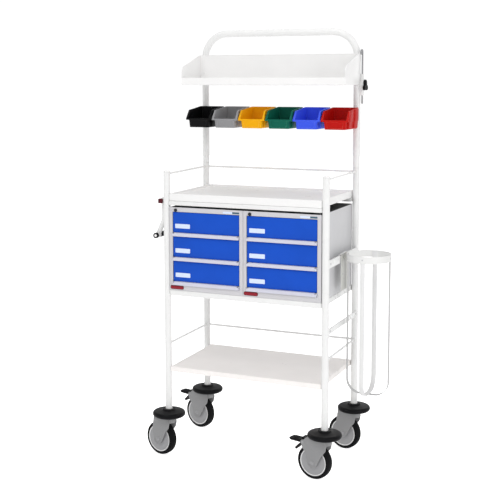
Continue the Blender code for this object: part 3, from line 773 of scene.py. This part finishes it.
def bin_shape():
    """A hopper bin about its centre line: shell, flanged mouth, rims, label frame, ribs and hook."""
    low, high = box_of("bin_black")
    half = (high.x - low.x) / 2
    base, top = low.z, high.z
    lip = base + 0.0335
    rear = 0.1512
    back = rear - 0.0021
    inner_front = 0.0267
    outside = (
        (0.0362, 0.0417, 0.0298, rear - 0.002, 0.003, base),
        (0.038, 0.0434, 0.0282, rear - 0.0004, 0.004, base + 0.0006),
        (0.0386, 0.0441, 0.0274, rear, 0.004, base + 0.002),
        (0.04, 0.0447, 0.0248, rear, 0.004, lip - 0.0078),
        (0.0404, 0.0448, 0.0245, rear, 0.004, lip - 0.007),
        (0.0446, 0.0454, 0.0245, rear, 0.004, lip - 0.006),
        (0.045, 0.0456, 0.0245, rear, 0.004, lip - 0.0052),
        (0.0455, 0.0467, 0.0245, rear, 0.004, top),
    )
    hollow = (
        (0.0342, 0.0397, 0.032, back - 0.002, 0.002, base + 0.0022),
        (0.0365, 0.042, 0.0296, back, 0.004, base + 0.0038),
        (0.0381, 0.0427, inner_front, back, 0.0035, lip - 0.0062),
        (0.0427, 0.0435, inner_front, back, 0.0035, lip - 0.0044),
        (0.0434, 0.0446, inner_front, back, 0.003, top + 0.006),
    )
    outer, inner = (skin([bin_level(*level) for level in levels]) for levels in (outside, hollow))
    across, clear = (-0.0429, 0.0429), top + 0.02
    mouth = block(across, (inner_front, 0.06), (lip - 0.004, clear), 0.0)
    front = block(across, (0.01, 0.034), (lip, clear), 0.0)
    above = [
        (0.015, lip), (0.023, lip), (0.0425, top - 0.0105), (0.16, top + 0.0023), (0.16, clear),
        (0.015, clear),
    ]
    shell = combined(outer, cut=[inner, mouth, front, plate(above, "X", (-0.06, 0.06))])
    extras = [block((-half + 0.0004, half - 0.0004), (0.023, 0.0269), (lip - 0.006, lip), 0.0008)]
    wall = 0.0431
    for side in (-1, 1):
        flange = [
            (0.0231, lip - 0.006), (0.023, lip - 0.0002), (0.0425, top - 0.0106), (0.05, top - 0.0098),
            (0.05, top - 0.013), (0.032, lip - 0.004), (0.0275, lip - 0.006),
        ]
        flange = plate(flange, "X", sorted((side * wall, side * half)), 0.0008, 2)
        for vertex in flange.vertices:
            rise = min(1.0, max(0.0, (vertex.co.z - lip) / (top - lip)))
            vertex.co.x -= side * 0.0036 * rise * (abs(vertex.co.x) - wall) / (half - wall)
        extras.append(flange)
        rim = ((side * 0.046, 0.047, top - 0.011), (side * 0.0462, rear - 0.0012, top - 0.0014))
        extras.append(pipe(rim, 0.0013, 10, domed=True))
        for y0, y1 in ((0.047, 0.08), (0.108, rear - 0.0004)):
            rib = []
            for z, x0, x1 in (
                (base + 0.003, 0.039, 0.0446), (lip - 0.008, 0.041, 0.0458), (lip - 0.004, 0.044, 0.0482),
                (top - 0.011 + 0.1 * (y0 - 0.047), 0.0446, 0.0486),
            ):
                rib.append([(side * x, y, z) for x, y in ((x0, y0), (x1, y0), (x1, y1), (x0, y1))])
            extras.append(eased(skin(rib), 0.0008, 2, 40))
    rim = [(x, rear - 0.0012, top - 0.0012) for x in (-0.0455, 0.0455)]
    extras.append(pipe(rim, 0.0012, 10, domed=True))
    lower, upper = base + 0.0045, lip - 0.0085
    for x0, z0, x1, z1 in (
        (-0.031, upper, -0.028, lower), (0.031, upper, 0.028, lower), (-0.028, lower, 0.028, lower),
    ):
        ends = [(x, 0.0274 - 0.112 * (z - base - 0.002) - 0.0002, z) for x, z in ((x0, z0), (x1, z1))]
        extras.append(pipe(ends, 0.001, 8, domed=True))
    reach = box_of("bin_rail")[1].y + 0.0004
    over = top - 0.0004
    hook = [
        (rear - 0.001, over - 0.007), (rear - 0.001, over - 0.0008), (rear, over), (reach + 0.001, over),
        (reach + 0.002, over - 0.001), (reach + 0.002, over - 0.0096), (reach, over - 0.0096),
        (reach, over - 0.0018), (rear, over - 0.0018), (rear, over - 0.007),
    ]
    extras.append(plate(hook, "X", (-0.022, 0.022)))
    return joined(eased(shell, 0.0003, 1, 45), *extras)


bin_mesh = bin_shape()
for colour, look in bin_plastic.items():
    centre = middle(f"bin_{colour}")
    piece(f"storage_bin_{colour}", placed(bin_mesh.copy(), at(centre.x, 0, 0)), look, f"bin_{colour}")


# Drawer units

# The opening for the drawers, the lock's place left of a unit's middle and above the floor, how far
# back the lip over the drawers may reach so that the lock's cam can turn, and the printed sticker
OPENING_HALF = 0.13
OPENING_Z = (0.643, 0.9094)
LOCK_IN = 0.117
LOCK_Z = 0.915
CAM_GAP = 0.0062
STICKER_Z = (0.9124, 0.9186)


def carcass(node):
    """A folded cabinet body with an open front, with another material on its front and a near-black painted
    shade on its top.
    """
    low, high = box_of(node)
    cx = (low.x + high.x) / 2
    roof = high.z + 0.003
    body = block((low.x, high.x), (low.y, high.y), (low.z, roof), 0.0014, 3)
    inside = (high.x - low.x) / 2 - 0.002
    depth, height = (low.y + 0.0022, high.y - 0.002), (low.z + 0.002, roof - 0.002)
    cavity = block((cx - inside, cx + inside), depth, height, 0.0)
    opening = block((cx - OPENING_HALF, cx + OPENING_HALF), (low.y - 0.02, low.y + 0.02), OPENING_Z, 0.0)
    keyway = placed(peg(0.0046, -0.01, 0.01, 24), TO_Y, at(cx - LOCK_IN, low.y, LOCK_Z))
    shell = combined(body, cut=[cavity, opening, keyway])
    bm = loaded(shell)
    for face in bm.faces:
        centre = face.calc_center_median()
        # Index 1 is the front; index 2, on the top, is a near-black painted shade
        face.material_index = 1 if centre.y < low.y + 0.0032 else 2 if centre.z > roof - 0.0012 else 0
    return stored(bm, shell)


def runner_mesh(node):
    """Angle runners on both walls, three tiers."""
    low, high = box_of(node)
    cx = (low.x + high.x) / 2
    wall = (high.x - low.x) / 2 - 0.0022
    made = []
    for tier in TIERS:
        z = box_of(f"drawer_front_left_{tier}")[1].z + 0.0008 - 0.0865
        angle = [(wall, z), (0.1188, z), (0.1188, z - 0.0016)]
        angle += [(wall - 0.0014, z - 0.0016), (wall - 0.0014, z - 0.012), (wall, z - 0.012)]
        for sign in (-1, 1):
            path = [(cx + sign * u, v) for u, v in angle]
            made.append(plate(path, "Y", (low.y + 0.009, high.y - 0.006), 0.0003, 1))
    return joined(*made)


def frame_lips(node):
    """The folded inner edges round the opening; the top one stops in front of the lock's cam."""
    low, high = box_of(node)
    cx = (low.x + high.x) / 2
    left, right = cx - OPENING_HALF, cx + OPENING_HALF
    bottom, top = OPENING_Z
    sheet, deep = 0.0012, 0.014
    return joined(
        *(
            block(x, (low.y + 0.0006, low.y + reach), z, 0.0004, 2)
            for x, z, reach in (
                ((left - sheet, left), OPENING_Z, deep), ((right, right + sheet), OPENING_Z, deep),
                ((left, right), (bottom - sheet, bottom), deep), ((left, right), (top, top + sheet), CAM_GAP),
            )
        )
    )


def tray_shape(cx, top):
    """A folded drawer tray with a rolled rim, open on top."""
    half, front, back = 0.1265, -0.172, 0.14
    floor, rim = top - 0.0862, top - 0.014
    half_y = (back - front) / 2
    levels = []
    for inset, radius, corner, z, start, end, steps in (
        (0.0025, 0.0025, 0.004, floor + 0.0025, -90, 0, 4), (0.001, 0.001, 0.004, rim - 0.001, 0, 180, 6),
        (0.0038, 0.0022, 0.0035, floor + 0.0034, 0, -90, 4),
    ):
        levels += [
            (half - inset + u, half_y - inset + u, corner, z + v)
            for u, v in arc((0, 0), radius, start, end, steps)
        ]
    return stacked(levels, (cx, (front + back) / 2), 4)


def grip_shape(cx, top):
    """A moulded finger pull with rounded nose and closed ends."""
    y0, y1 = -0.1835, -0.1708
    z0, z1 = top - 0.0877, top - 0.0748
    outline = [(y1, z0), (y1, z1)]
    outline += arc((y0 + 0.0042, z1 - 0.0042), 0.0042, 90, 180, 6)
    outline += arc((y0 + 0.0009, z0 + 0.0009), 0.0009, 180, 360, 5)
    outline += [(y0 + 0.0019, z1 - 0.0045), (y0 + 0.004, z1 - 0.0026), (y1 - 0.0034, z1 - 0.0026)]
    outline += [(y1 - 0.0034, z0)]
    bar = plate(outline, "X", (cx - 0.1285, cx + 0.1285), 0.0)
    ends = []
    for sign in (-1, 1):
        x = sorted((cx + sign * 0.1284, cx + sign * 0.1215))
        side = [(y1, z0), (y1, z1)] + arc((y0 + 0.0042, z1 - 0.0042), 0.0042, 90, 180, 6)
        side += arc((y0 + 0.0018, z0 + 0.0012), 0.0012, 180, 270, 3)
        ends.append(plate(side, "X", x, 0.0004, 2))
    return joined(bar, *ends)


def label_shape(x, y, z):
    """A snap-in label holder: a rim with an insert, whose lower left corner is at (x, z)."""
    half_x, half_z, rim = 0.029, 0.0079, 0.0013
    cx, cz = x + half_x, z + half_z
    outer = around(cx, cz, half_x, half_z, 0.0022, 4)
    window = around(cx, cz, half_x - rim, half_z - rim, 0.0012, 4)
    holder = combined(plate(outer, "Y", (y - 0.0014, y)), cut=[plate(window, "Y", (y - 0.01, y + 0.01))])
    return joined(eased(holder, 0.0003, 1, 50), marked(plate(window, "Y", (y - 0.0008, y)), 1))


for side in SIDES:
    cabinet = f"cabinet_{side}"
    low, high = box_of(cabinet)
    cx = (low.x + high.x) / 2
    piece(f"cabinet_body_{side}", carcass(cabinet), (cabinet_paint, face_paint, cabinet_top_painted_shade), cabinet)
    piece(f"cabinet_lips_{side}", frame_lips(cabinet), face_paint, like=cabinet)
    piece(f"drawer_runners_{side}", runner_mesh(cabinet), bright_steel, like=cabinet)
    tag_x, tag_z = low.x + 0.0295, low.z + 0.0106
    tag = plate(around(tag_x, tag_z, 0.025, 0.0054, 0.0044), "Y", (low.y - 0.002, low.y - 0.0004), 0.0005)
    backing = around(tag_x, tag_z, 0.0266, 0.0068, 0.0056)
    backing = plate(backing, "Y", (low.y - 0.0011, low.y + 0.0004), 0.0003)
    piece(f"plain_tag_{side}", joined(tag, marked(backing, 1)), (tag_red, tag_dark), like=cabinet)
    right = low.x + 0.2725
    sticker = [
        marked(block(x, (low.y - 0.0004, low.y + 0.0006), STICKER_Z, 0.0002, 1), i)
        for i, x in enumerate(((right - 0.062, right - 0.026), (right - 0.026, right)))
    ]
    piece(f"blank_sticker_{side}", joined(*sticker), (paper, teal), like=cabinet)
    bezel = (
        (0, 0.0003), (0.0058, 0.0003), (0.006, 0.0008), (0.006, 0.003), (0.0052, 0.0044), (0.0046, 0.0044),
        (0.0043, 0.0036), (0.004, 0.0036), (0.0036, 0.0053), (0.0028, 0.0055), (0, 0.0055),
    )
    key_slot = block((-0.0006, 0.0006), (-0.0028, 0.0028), (0.004, 0.007), 0.0)
    tail = ((0, -0.009), (0.004, -0.009), (0.0042, -0.0086), (0.0042, 0.0006), (0, 0.0006))
    barrel = [combined(lathe(bezel, 36), cut=[key_slot]), lathe(tail, 24)]
    barrel = [placed(mesh, TO_FRONT, at(cx - LOCK_IN, low.y, LOCK_Z)) for mesh in barrel]
    cam = block((cx - 0.119, cx - 0.103), (low.y + 0.007, low.y + 0.0088), (0.9125, 0.9175), 0.0006, 2)
    piece(f"lock_barrel_{side}", joined(*barrel, cam), lock_metal, f"lock_{side}")
    for tier in TIERS:
        drawer, front = f"drawer_{side}_{tier}", f"drawer_front_{side}_{tier}"
        corner, far = box_of(front)
        top = far.z + 0.0008
        piece(f"drawer_tray_{side}_{tier}", tray_shape(cx, top), drawer_paint, drawer)
        piece(f"drawer_grip_{side}_{tier}", grip_shape(cx, top), grip_plastic, like=drawer)
        piece(f"drawer_panel_{side}_{tier}", block(*zip(corner, far), 0.0011), front_paint, front)
        holder = label_shape(corner.x + 0.009, corner.y, corner.z + 0.0155)
        piece(f"label_holder_{side}_{tier}", holder, (label_plastic, paper), like=front)


# Catheter basket

low, high = box_of("catheter_basket")
BASKET_R = 0.078
BASKET_X = high.x - BASKET_R
BASKET_Y = (low.y + high.y) / 2
ring_profile = arc((BASKET_R - 0.001, high.z - 0.001), 0.001, 0, 180, 6)
ring_profile += arc((BASKET_R - 0.001, high.z - 0.024), 0.001, 180, 360, 6)
hoop = placed(lathe(ring_profile, 72, loop=True), at(BASKET_X, BASKET_Y, 0))
strip = rounded(0.009, 0.001, 0.0007, 3)
bands = []
for normal, drop in (((0, 1, 0), 0.001), ((1, 0, 0), 0.0032)):
    across = Vector((0, 0, 1)).cross(Vector(normal))
    centre = Vector((BASKET_X, BASKET_Y, 0))
    one, two = (centre + across * (sign * (BASKET_R - 0.003)) for sign in (-1, 1))
    up, down = high.z - 0.004, low.z + drop
    corners = [(*one.xy, up), (*one.xy, down), (*two.xy, down), (*two.xy, up)]
    bands.append(sweep(bent(corners, 0.05, 18), strip, normal))
rivets = []
for turn in range(4):
    rivet = placed(screw(0.003, 0.0009), TO_X, at(BASKET_R - 0.0002, 0, 0), turned(90 * turn, "Z"))
    rivets.append(placed(rivet, at(BASKET_X, BASKET_Y, high.z - 0.0125)))
# The plate hangs down behind the rail, and its hook goes over the rail's top edge
PLATE_Z, HOOK_Z, SLOT_Z, HEADS_Z = (0.642, 0.7715), 0.7702, 0.742, 0.7
plate_x = box_of("side_rail_upper")[1].x + 0.0015
back_plate = around(BASKET_Y, sum(PLATE_Z) / 2, 0.04, (PLATE_Z[1] - PLATE_Z[0]) / 2, 0.006)
back_plate = plate(back_plate, "X", (plate_x, plate_x + 0.0025))
slots = [around(BASKET_Y + y, SLOT_Z, 0.0024, 0.014, 0.0023) for y in (-0.027, 0.027)]
slots = [plate(slot, "X", (plate_x - 0.01, plate_x + 0.01)) for slot in slots]
back_plate = eased(combined(back_plate, cut=slots), 0.0004, 1, 50)
inner_x, outer_x = box_of("side_rail_upper")[0].x - 0.0011, plate_x + 0.0012
fold = ((inner_x, 0.7602), (inner_x, HOOK_Z), (outer_x, HOOK_Z), (outer_x, 0.76))
fold = bent([(x, BASKET_Y, z) for x, z in fold], 0.0018, 4)
hook = sweep(fold, [(0.039, 0.0008), (-0.039, 0.0008), (-0.039, -0.0008), (0.039, -0.0008)], (0, 1, 0))
spacer = (plate_x + 0.0015, BASKET_X - BASKET_R + 0.0022)
spacer = block(spacer, (BASKET_Y - 0.012, BASKET_Y + 0.012), (0.753, 0.768), 0.0012, 2)
heads = [placed(screw(0.0038), TO_X, at(plate_x + 0.0025, BASKET_Y + y, HEADS_Z)) for y in (-0.024, 0.024)]
basket_mesh = joined(
    hoop, hook, *(marked(m, 1) for m in rivets + heads), marked(bands[0], 4), marked(bands[1], 2),
    marked(back_plate, 3), marked(spacer, 3),
)
# Index 4, the side bands, takes the darker copy of the band coat as painted shade
basket_looks = (basket_white, bright_steel, band_white, plate_white, side_band_painted_shade)
piece("basket_frame", basket_mesh, basket_looks, "catheter_basket")


# Infusion rod and clamp knob

hook_top, hook_y = rod_high.z - ROD_R, REAR_Y - 0.018
corners = ((REAR_Y, rod_low.z + 0.002), (REAR_Y, hook_top), (hook_y, hook_top), (hook_y, hook_top - 0.015))
path = bent([(ROD.x, y, z) for y, z in corners], 0.00899, 14)
piece("infusion_rod_bar", pipe(path, ROD_R, 20, domed=True), rod_steel, "infusion_rod")

knob_end = box_of("clamp_knob")[1].x
# Each row is a distance from the knob's back and a scale of its three-lobed outline
lobes = []
for depth, scale in (
    (0.0004, 0.8), (0.0009, 0.93), (0.002, 1.0), (0.0072, 1.0), (0.009, 0.95), (0.0098, 0.86), (0.0098, 0.6),
    (0.009, 0.5), (0.0088, 0.2),
):
    loop = []
    for i in range(72):
        turn = math.tau * i / 72
        radius = (KNOB_LOBE_R - KNOB_WAIST + KNOB_WAIST * math.cos(3 * turn)) * scale
        x = knob_end - 0.01 + depth
        loop.append((x, REAR_Y + radius * math.sin(turn), KNOB.z + radius * math.cos(turn)))
    lobes.append(loop)
pin = lathe(((0, -0.0028), (0.0023, -0.0024), (0.0023, 0.0), (0, 0.0)), 20)
pin = placed(pin, TO_X, at(knob_end - 0.0098, REAR_Y, KNOB.z))
piece("clamp_knob_grip", joined(skin(lobes), pin), black, "clamp_knob")


# Push handle

PIVOT = middle("handle_pivot")
GRIP_R = 0.01
GRIP = box_of("push_handle")[0] + Vector((GRIP_R, 0, GRIP_R))
arms = []
for y in (-0.146, 0.146):
    corners = ((PIVOT.x, y, PIVOT.z - 0.004), (PIVOT.x, y, PIVOT.z - 0.07), (GRIP.x, y, GRIP.z))
    arms.append(pipe(bent(corners, 0.03, 10), 0.009, 28, domed=True))
    for centre, radius in ((PIVOT, 0.0115), (GRIP, 0.01)):
        edge = ((radius - 0.0009, 0.0095), (radius, 0.0085))
        boss = [(0.0044, -0.0095), *((r, -z) for r, z in edge), *reversed(edge), (0.0044, 0.0095)]
        arms.append(placed(lathe(boss, 36, loop=True), TO_Y, at(centre.x, y, centre.z)))
piece("handle_arms", joined(*arms), white, "push_handle")
sleeve = [(0.005, -0.1366), (0.0092, -0.1366), (0.01, -0.1358), (0.01, -0.132), (0.0096, -0.1312)]
for i in range(21):
    y = -0.13 + 0.26 * i / 20
    sleeve += [(0.0096, y - 0.003), (0.01, y - 0.0018), (0.01, y + 0.0018), (0.0096, y + 0.003)]
sleeve += [(0.0096, 0.134), (0.01, 0.1346), (0.01, 0.1358), (0.0092, 0.1366), (0.005, 0.1366)]
grip = placed(lathe(sleeve, 36, loop=True), TO_Y, at(GRIP.x, 0, GRIP.z))
ends = []
for matrix in (TO_FRONT, TO_Y):
    rim = (
        (0.005, 0.1554), (0.0094, 0.1554), (0.01, 0.1562), (0.01, 0.165), (0.0094, 0.1659), (0.006, 0.1659),
        (0.0054, 0.164),
    )
    ends.append(placed(lathe(rim, 36, loop=True), matrix, at(GRIP.x, 0, GRIP.z)))
    plug = lathe(((0, 0.16), (0.0055, 0.16), (0.0055, 0.1645), (0.0046, 0.1652), (0, 0.1652)), 28)
    ends.append(marked(placed(plug, matrix, at(GRIP.x, 0, GRIP.z)), 1))
piece("handle_grip", joined(grip, *ends), (black, sheet_white), like="push_handle")
pivot_rod = placed(peg(0.004, -0.172, 0.172, 24), TO_Y, at(PIVOT.x, 0, PIVOT.z))
outline = around(PIVOT.x, PIVOT.z, 0.0084, 0.0084, 0.003)
knobs = [marked(plate(outline, "Y", y, 0.0016, 3), 1) for y in ((-0.178, -0.169), (0.169, 0.178))]
piece("handle_pivot_rod", joined(pivot_rod, *knobs), (white, maroon), "handle_pivot")


# Casters

# Each caster is built round its swivel axis with its wheel trailing towards -X
TRAIL = 0.037
WHEEL_R = 0.0625
CHEEK_IN, CHEEK_OUT = 0.019, 0.0232
CROWN_Z = (0.128, 0.1517)
BRAKE = (-0.074, 0.129)


def fork_shape(braked):
    """Moulded housing about the swivel axis: crown with rounded nose, and two tapered cheeks."""
    nose, high = CHEEK_OUT, CROWN_Z[1] - 0.0008
    plan = arc((0, 0), nose, -90, 90, 24) + [(-0.056, nose), (-0.056, -nose)]
    crown = plate(plan, "Z", CROWN_Z)
    cheek = [(0.012, high), (-0.0545, high)]
    if braked:
        cheek += [(-0.064, 0.145)]
        cheek += arc(BRAKE, 0.0085, 70, 215, 12)
        cheek += [(-0.074, 0.108)]
    cheek += [(-0.063, 0.095)]
    cheek += arc((-TRAIL, WHEEL_R), 0.02, 180, 325, 18)
    cheek += [(-0.002, 0.09), (0.013, 0.109), (0.017, 0.128)]
    outer = nose - 0.0002
    sides = [plate(cheek, "Y", span) for span in ((CHEEK_IN, outer), (-outer, -CHEEK_IN))]
    housing = eased(combined(crown, sides), 0.0016, 3, 35)
    bolt = (
        (0, 0.0), (0.0076, 0.0), (0.0076, 0.0008), (0.0066, 0.0014), (0.005, 0.0014), (0.0046, 0.0026),
        (0.003, 0.003), (0.0022, 0.003), (0.0018, 0.0018), (0, 0.0018),
    )
    cap = ((0, 0.0), (0.0046, 0.0), (0.0046, 0.0006), (0.0036, 0.0012), (0, 0.0012))
    extras = []
    for sign, turn in ((-1, TO_FRONT), (1, TO_Y)):
        ridge = [(x, sign * outer, z) for x, z in arc((-TRAIL, WHEEL_R), 0.016, 195, 322, 18)]
        extras.append(pipe(ridge, 0.0009, 8, domed=True))
        face = sign * (nose - 0.0003)
        extras.append(marked(placed(lathe(bolt, 32), turn, at(-TRAIL, face, WHEEL_R)), 2))
        if braked:
            extras.append(marked(placed(lathe(cap, 24), turn, at(BRAKE[0], face, BRAKE[1])), 2))
    race = ((0.007, 0.1512), (0.02, 0.1512), (0.0212, 0.1503), (0.0212, 0.149), (0.007, 0.149))
    stem = ((0, 0.149), (0.0054, 0.149), (0.0054, 0.199), (0.0044, 0.2), (0, 0.2))
    axle = placed(peg(0.0039, -0.021, 0.021), TO_Y, at(-TRAIL, 0, WHEEL_R))
    steel = (lathe(race, 40, loop=True), lathe(stem, 20), axle)
    return joined(housing, *extras, *(marked(mesh, 1) for mesh in steel))


def hub_shape():
    """Wheel centre about Z: boss, ribbed cover and a pale rim ring painted as a highlight, the same on both
    faces.
    """
    face = [
        (0.0043, 0.0172), (0.01, 0.0172), (0.0112, 0.0166), (0.015, 0.015), (0.021, 0.014), (0.038, 0.014),
        (0.043, 0.0146), (0.0442, 0.0152), (0.0452, 0.0145), (0.0458, 0.0145), (0.0468, 0.0156),
        (0.049, 0.0158), (0.0497, 0.015),
    ]
    # The last bands of each face, marked 1, are the rim ring with its painted highlight
    marks = [0] * 9 + [1] * 3
    profile = face + [(r, -z) for r, z in reversed(face)]
    return lathe(profile, 72, loop=True, marks=marks + [1] + marks[::-1] + [0])


def tyre_shape():
    """Tread with rounded shoulders and a sidewall step, about Z."""
    side = [(0.05, 0.0157), (0.0512, 0.016), (0.0545, 0.016), (0.0552, 0.0156), (0.0568, 0.0154)]
    side += [(0.0545 + u, 0.0084 + v) for u, v in arc((0, 0), 0.0074, 72, 20, 6)]
    side += [(0.0623, 0.006), (0.0625, 0.003)]
    profile = side + [(r, -z) for r, z in reversed(side)]
    return lathe(profile, 80, loop=True)


def bumper_shape():
    """Fat round buffer that rises to a collar round the leg, with a few moulded steps below."""
    low, high = 0.152, 0.171
    middle_z, half = (low + high) / 2, (high - low) / 2
    profile = [(0.0072, low + 0.0004), (0.03, low + 0.0004), (0.031, low + 0.0016), (0.035, low + 0.0016)]
    profile += [(0.036, low + 0.0002)]
    profile += [(0.06 - half + u, middle_z + v) for u, v in arc((0, 0), half, -90, 90, 16)]
    profile += [(0.038, high + 0.0014), (0.03, high + 0.003), (0.0256, high + 0.0038), (0.0245, high + 0.0046)]
    profile += [(0.0234, high + 0.0084), (0.0226, high + 0.0094), (0.015, high + 0.0094)]
    profile += [(0.0134, high + 0.0088), (0.0132, high + 0.0004), (0.0072, high)]
    return lathe(profile, 72, loop=True)


def pedal_shape():
    """Brake rocker about its pin: ribbed foot pad, release tab and heel."""
    parts = [
        block((-0.009, 0.0145), (-0.016, 0.016), (0.005, 0.015), 0.0035, 4),
        block((-0.007, 0.006), (-0.0165, 0.0165), (-0.006, 0.011), 0.002, 3),
    ]
    pad = stacked([(0.02825, 0.0185, 0.013, z) for z in (-0.0042, 0.005)], (-0.03225, 0), 6)
    pad = eased(pad, 0.0026, 4)
    for vertex in pad.vertices:
        vertex.co.z *= 1 - 4.0 * max(0.0, -0.045 - vertex.co.x) / 0.1
        vertex.co.z += 0.035 * (-0.02 - vertex.co.x)
    parts.append(pad)
    tab = ((0.0, -0.001), (-0.008, 0.001), (-0.0355, -0.0265), (-0.035, -0.031), (-0.0305, -0.034))
    parts.append(plate(tab, "Y", (-0.014, 0.014), 0.0016, 3))
    for i in range(6):
        x = -0.052 + 0.0055 * i
        z = 0.005 + 0.002 * (-0.02 - x) / 0.036
        parts.append(pipe(((x, -0.014, z), (x, 0.014, z)), 0.0006, 8, domed=True))
    parts.append(placed(peg(0.003, -0.0185, 0.0185), TO_Y))
    return joined(*parts)


for name in CASTERS:
    pivot = middle(f"bumper_{name}")
    axle = middle(f"hub_{name}")
    heading = math.atan2(pivot.y - axle.y, pivot.x - axle.x)
    spun = Matrix.Rotation(heading, 4, "Z")
    swivel = at(pivot.x, pivot.y, 0)
    braked = f"brake_pedal_{name}" in BODY
    piece(f"bumper_disc_{name}", placed(bumper_shape(), swivel), bumper_black, f"bumper_{name}", crease=50)
    housing = placed(fork_shape(braked), spun, swivel)
    piece(f"fork_housing_{name}", housing, (caster_grey, bright_steel, hub_grey), f"fork_{name}")
    to_axle = (TO_Y, spun, at(axle.x, axle.y, WHEEL_R))
    piece(f"wheel_hub_{name}", placed(hub_shape(), *to_axle), (hub_grey, hub_rim_highlight), f"hub_{name}")
    piece(f"wheel_tyre_{name}", placed(tyre_shape(), *to_axle), tyre_black, f"tyre_{name}", crease=50)
    if braked:
        pedal = placed(pedal_shape(), at(BRAKE[0], 0, BRAKE[1]), spun, swivel)
        piece(f"brake_rocker_{name}", pedal, black, f"brake_pedal_{name}")


# Floor, light and camera


def floor():
    """A wide pale floor."""
    made = bpy.data.materials.new("pale_floor")
    made.use_nodes = True
    tree = made.node_tree
    shader = tree.nodes["Principled BSDF"]
    place = tree.nodes.new("ShaderNodeTexCoord").outputs["Object"]
    tone = mapped(tree, noise(tree, place, 1.4, 4.0), 0.3, 0.7, 0.0, 1.0)
    tree.links.new(mixed(tree, tone, (0.93, 0.93, 0.93, 1), (0.95, 0.95, 0.95, 1)), shader.inputs["Base Color"])
    shader.inputs["Roughness"].default_value = 0.8
    shader.inputs["Specular IOR Level"].default_value = 0.1
    shader.inputs["Emission Color"].default_value = (1, 1, 1, 1)
    seen = tree.nodes.new("ShaderNodeLightPath").outputs["Is Camera Ray"]
    tree.links.new(mapped(tree, seen, 0.0, 1.0, 0.28, 0.8), shader.inputs["Emission Strength"])
    mesh = skin([[(x, y, z) for x, y in circle((0, 0), 14.0, 96)] for z in (-0.02, 0.0)])
    mesh.materials.append(made)
    added("studio_floor", mesh)


def softbox(name, where, towards, size, power):
    """A large area light facing a point."""
    data = bpy.data.lights.new(name, "AREA")
    data.shape = "RECTANGLE"
    data.size, data.size_y = size
    data.energy = power
    obj = added(name, data)
    obj.location = where
    aim = Vector(towards) - Vector(where)
    obj.rotation_euler = aim.to_track_quat("-Z", "Y").to_euler()


def sky():
    """White all round, a little darker at the sides and behind, so that white tubes keep their edges."""
    world = bpy.data.worlds.new("studio")
    bpy.context.scene.world = world
    world.use_nodes = True
    tree = world.node_tree
    tree.nodes.clear()
    place = tree.nodes.new("ShaderNodeTexCoord").outputs["Generated"]
    split = linked(tree, "ShaderNodeSeparateXYZ", Vector=place)
    depth = mapped(tree, split.outputs["Y"], -1.0, 1.0, 0.64, 0.62)
    lighting = linked(tree, "ShaderNodeBackground", Color=(1, 1, 1, 1), Strength=depth)
    backdrop = linked(tree, "ShaderNodeBackground", Color=(1, 1, 1, 1), Strength=1.05)
    pick = tree.nodes.new("ShaderNodeMixShader")
    tree.links.new(tree.nodes.new("ShaderNodeLightPath").outputs["Is Camera Ray"], pick.inputs[0])
    tree.links.new(lighting.outputs[0], pick.inputs[1])
    tree.links.new(backdrop.outputs[0], pick.inputs[2])
    out = tree.nodes.new("ShaderNodeOutputWorld")
    tree.links.new(pick.outputs[0], out.inputs["Surface"])


floor()
sky()
softbox("key", (-0.4, -3.4, 4.0), (0, 0, 0.6), (2.6, 2.2), 46)
softbox("fill", (3.2, -1.6, 1.8), (0, 0, 0.8), (1.4, 2.4), 22)
softbox("overhead", (-0.3, 0.4, 3.8), (0, 0, 0.6), (2.4, 2.4), 18)
softbox("back", (0.6, 3.2, 2.2), (0, 0, 0.9), (2.2, 2.2), 12)

bpy.context.scene.view_settings.view_transform = "Standard"
bpy.context.scene.view_settings.look = "None"

YAW, PITCH, ROLL = 0.43399, 0.11602, -0.00555
camera_data = bpy.data.cameras.new("camera")
camera_data.lens = 77.765
camera_data.sensor_width = 36.0
camera_data.shift_x, camera_data.shift_y = 0.0782, -0.1081
camera_data.clip_end = 100.0
camera = added("camera", camera_data)
camera.location = Vector((1.461, -3.5917, 1.4107)) + CENTRE
gaze = Vector((-math.sin(YAW) * math.cos(PITCH), math.cos(YAW) * math.cos(PITCH), -math.sin(PITCH)))
camera.rotation_euler = (gaze.to_track_quat("-Z", "Y") @ Quaternion((0, 0, 1), ROLL)).to_euler()
bpy.context.scene.camera = camera
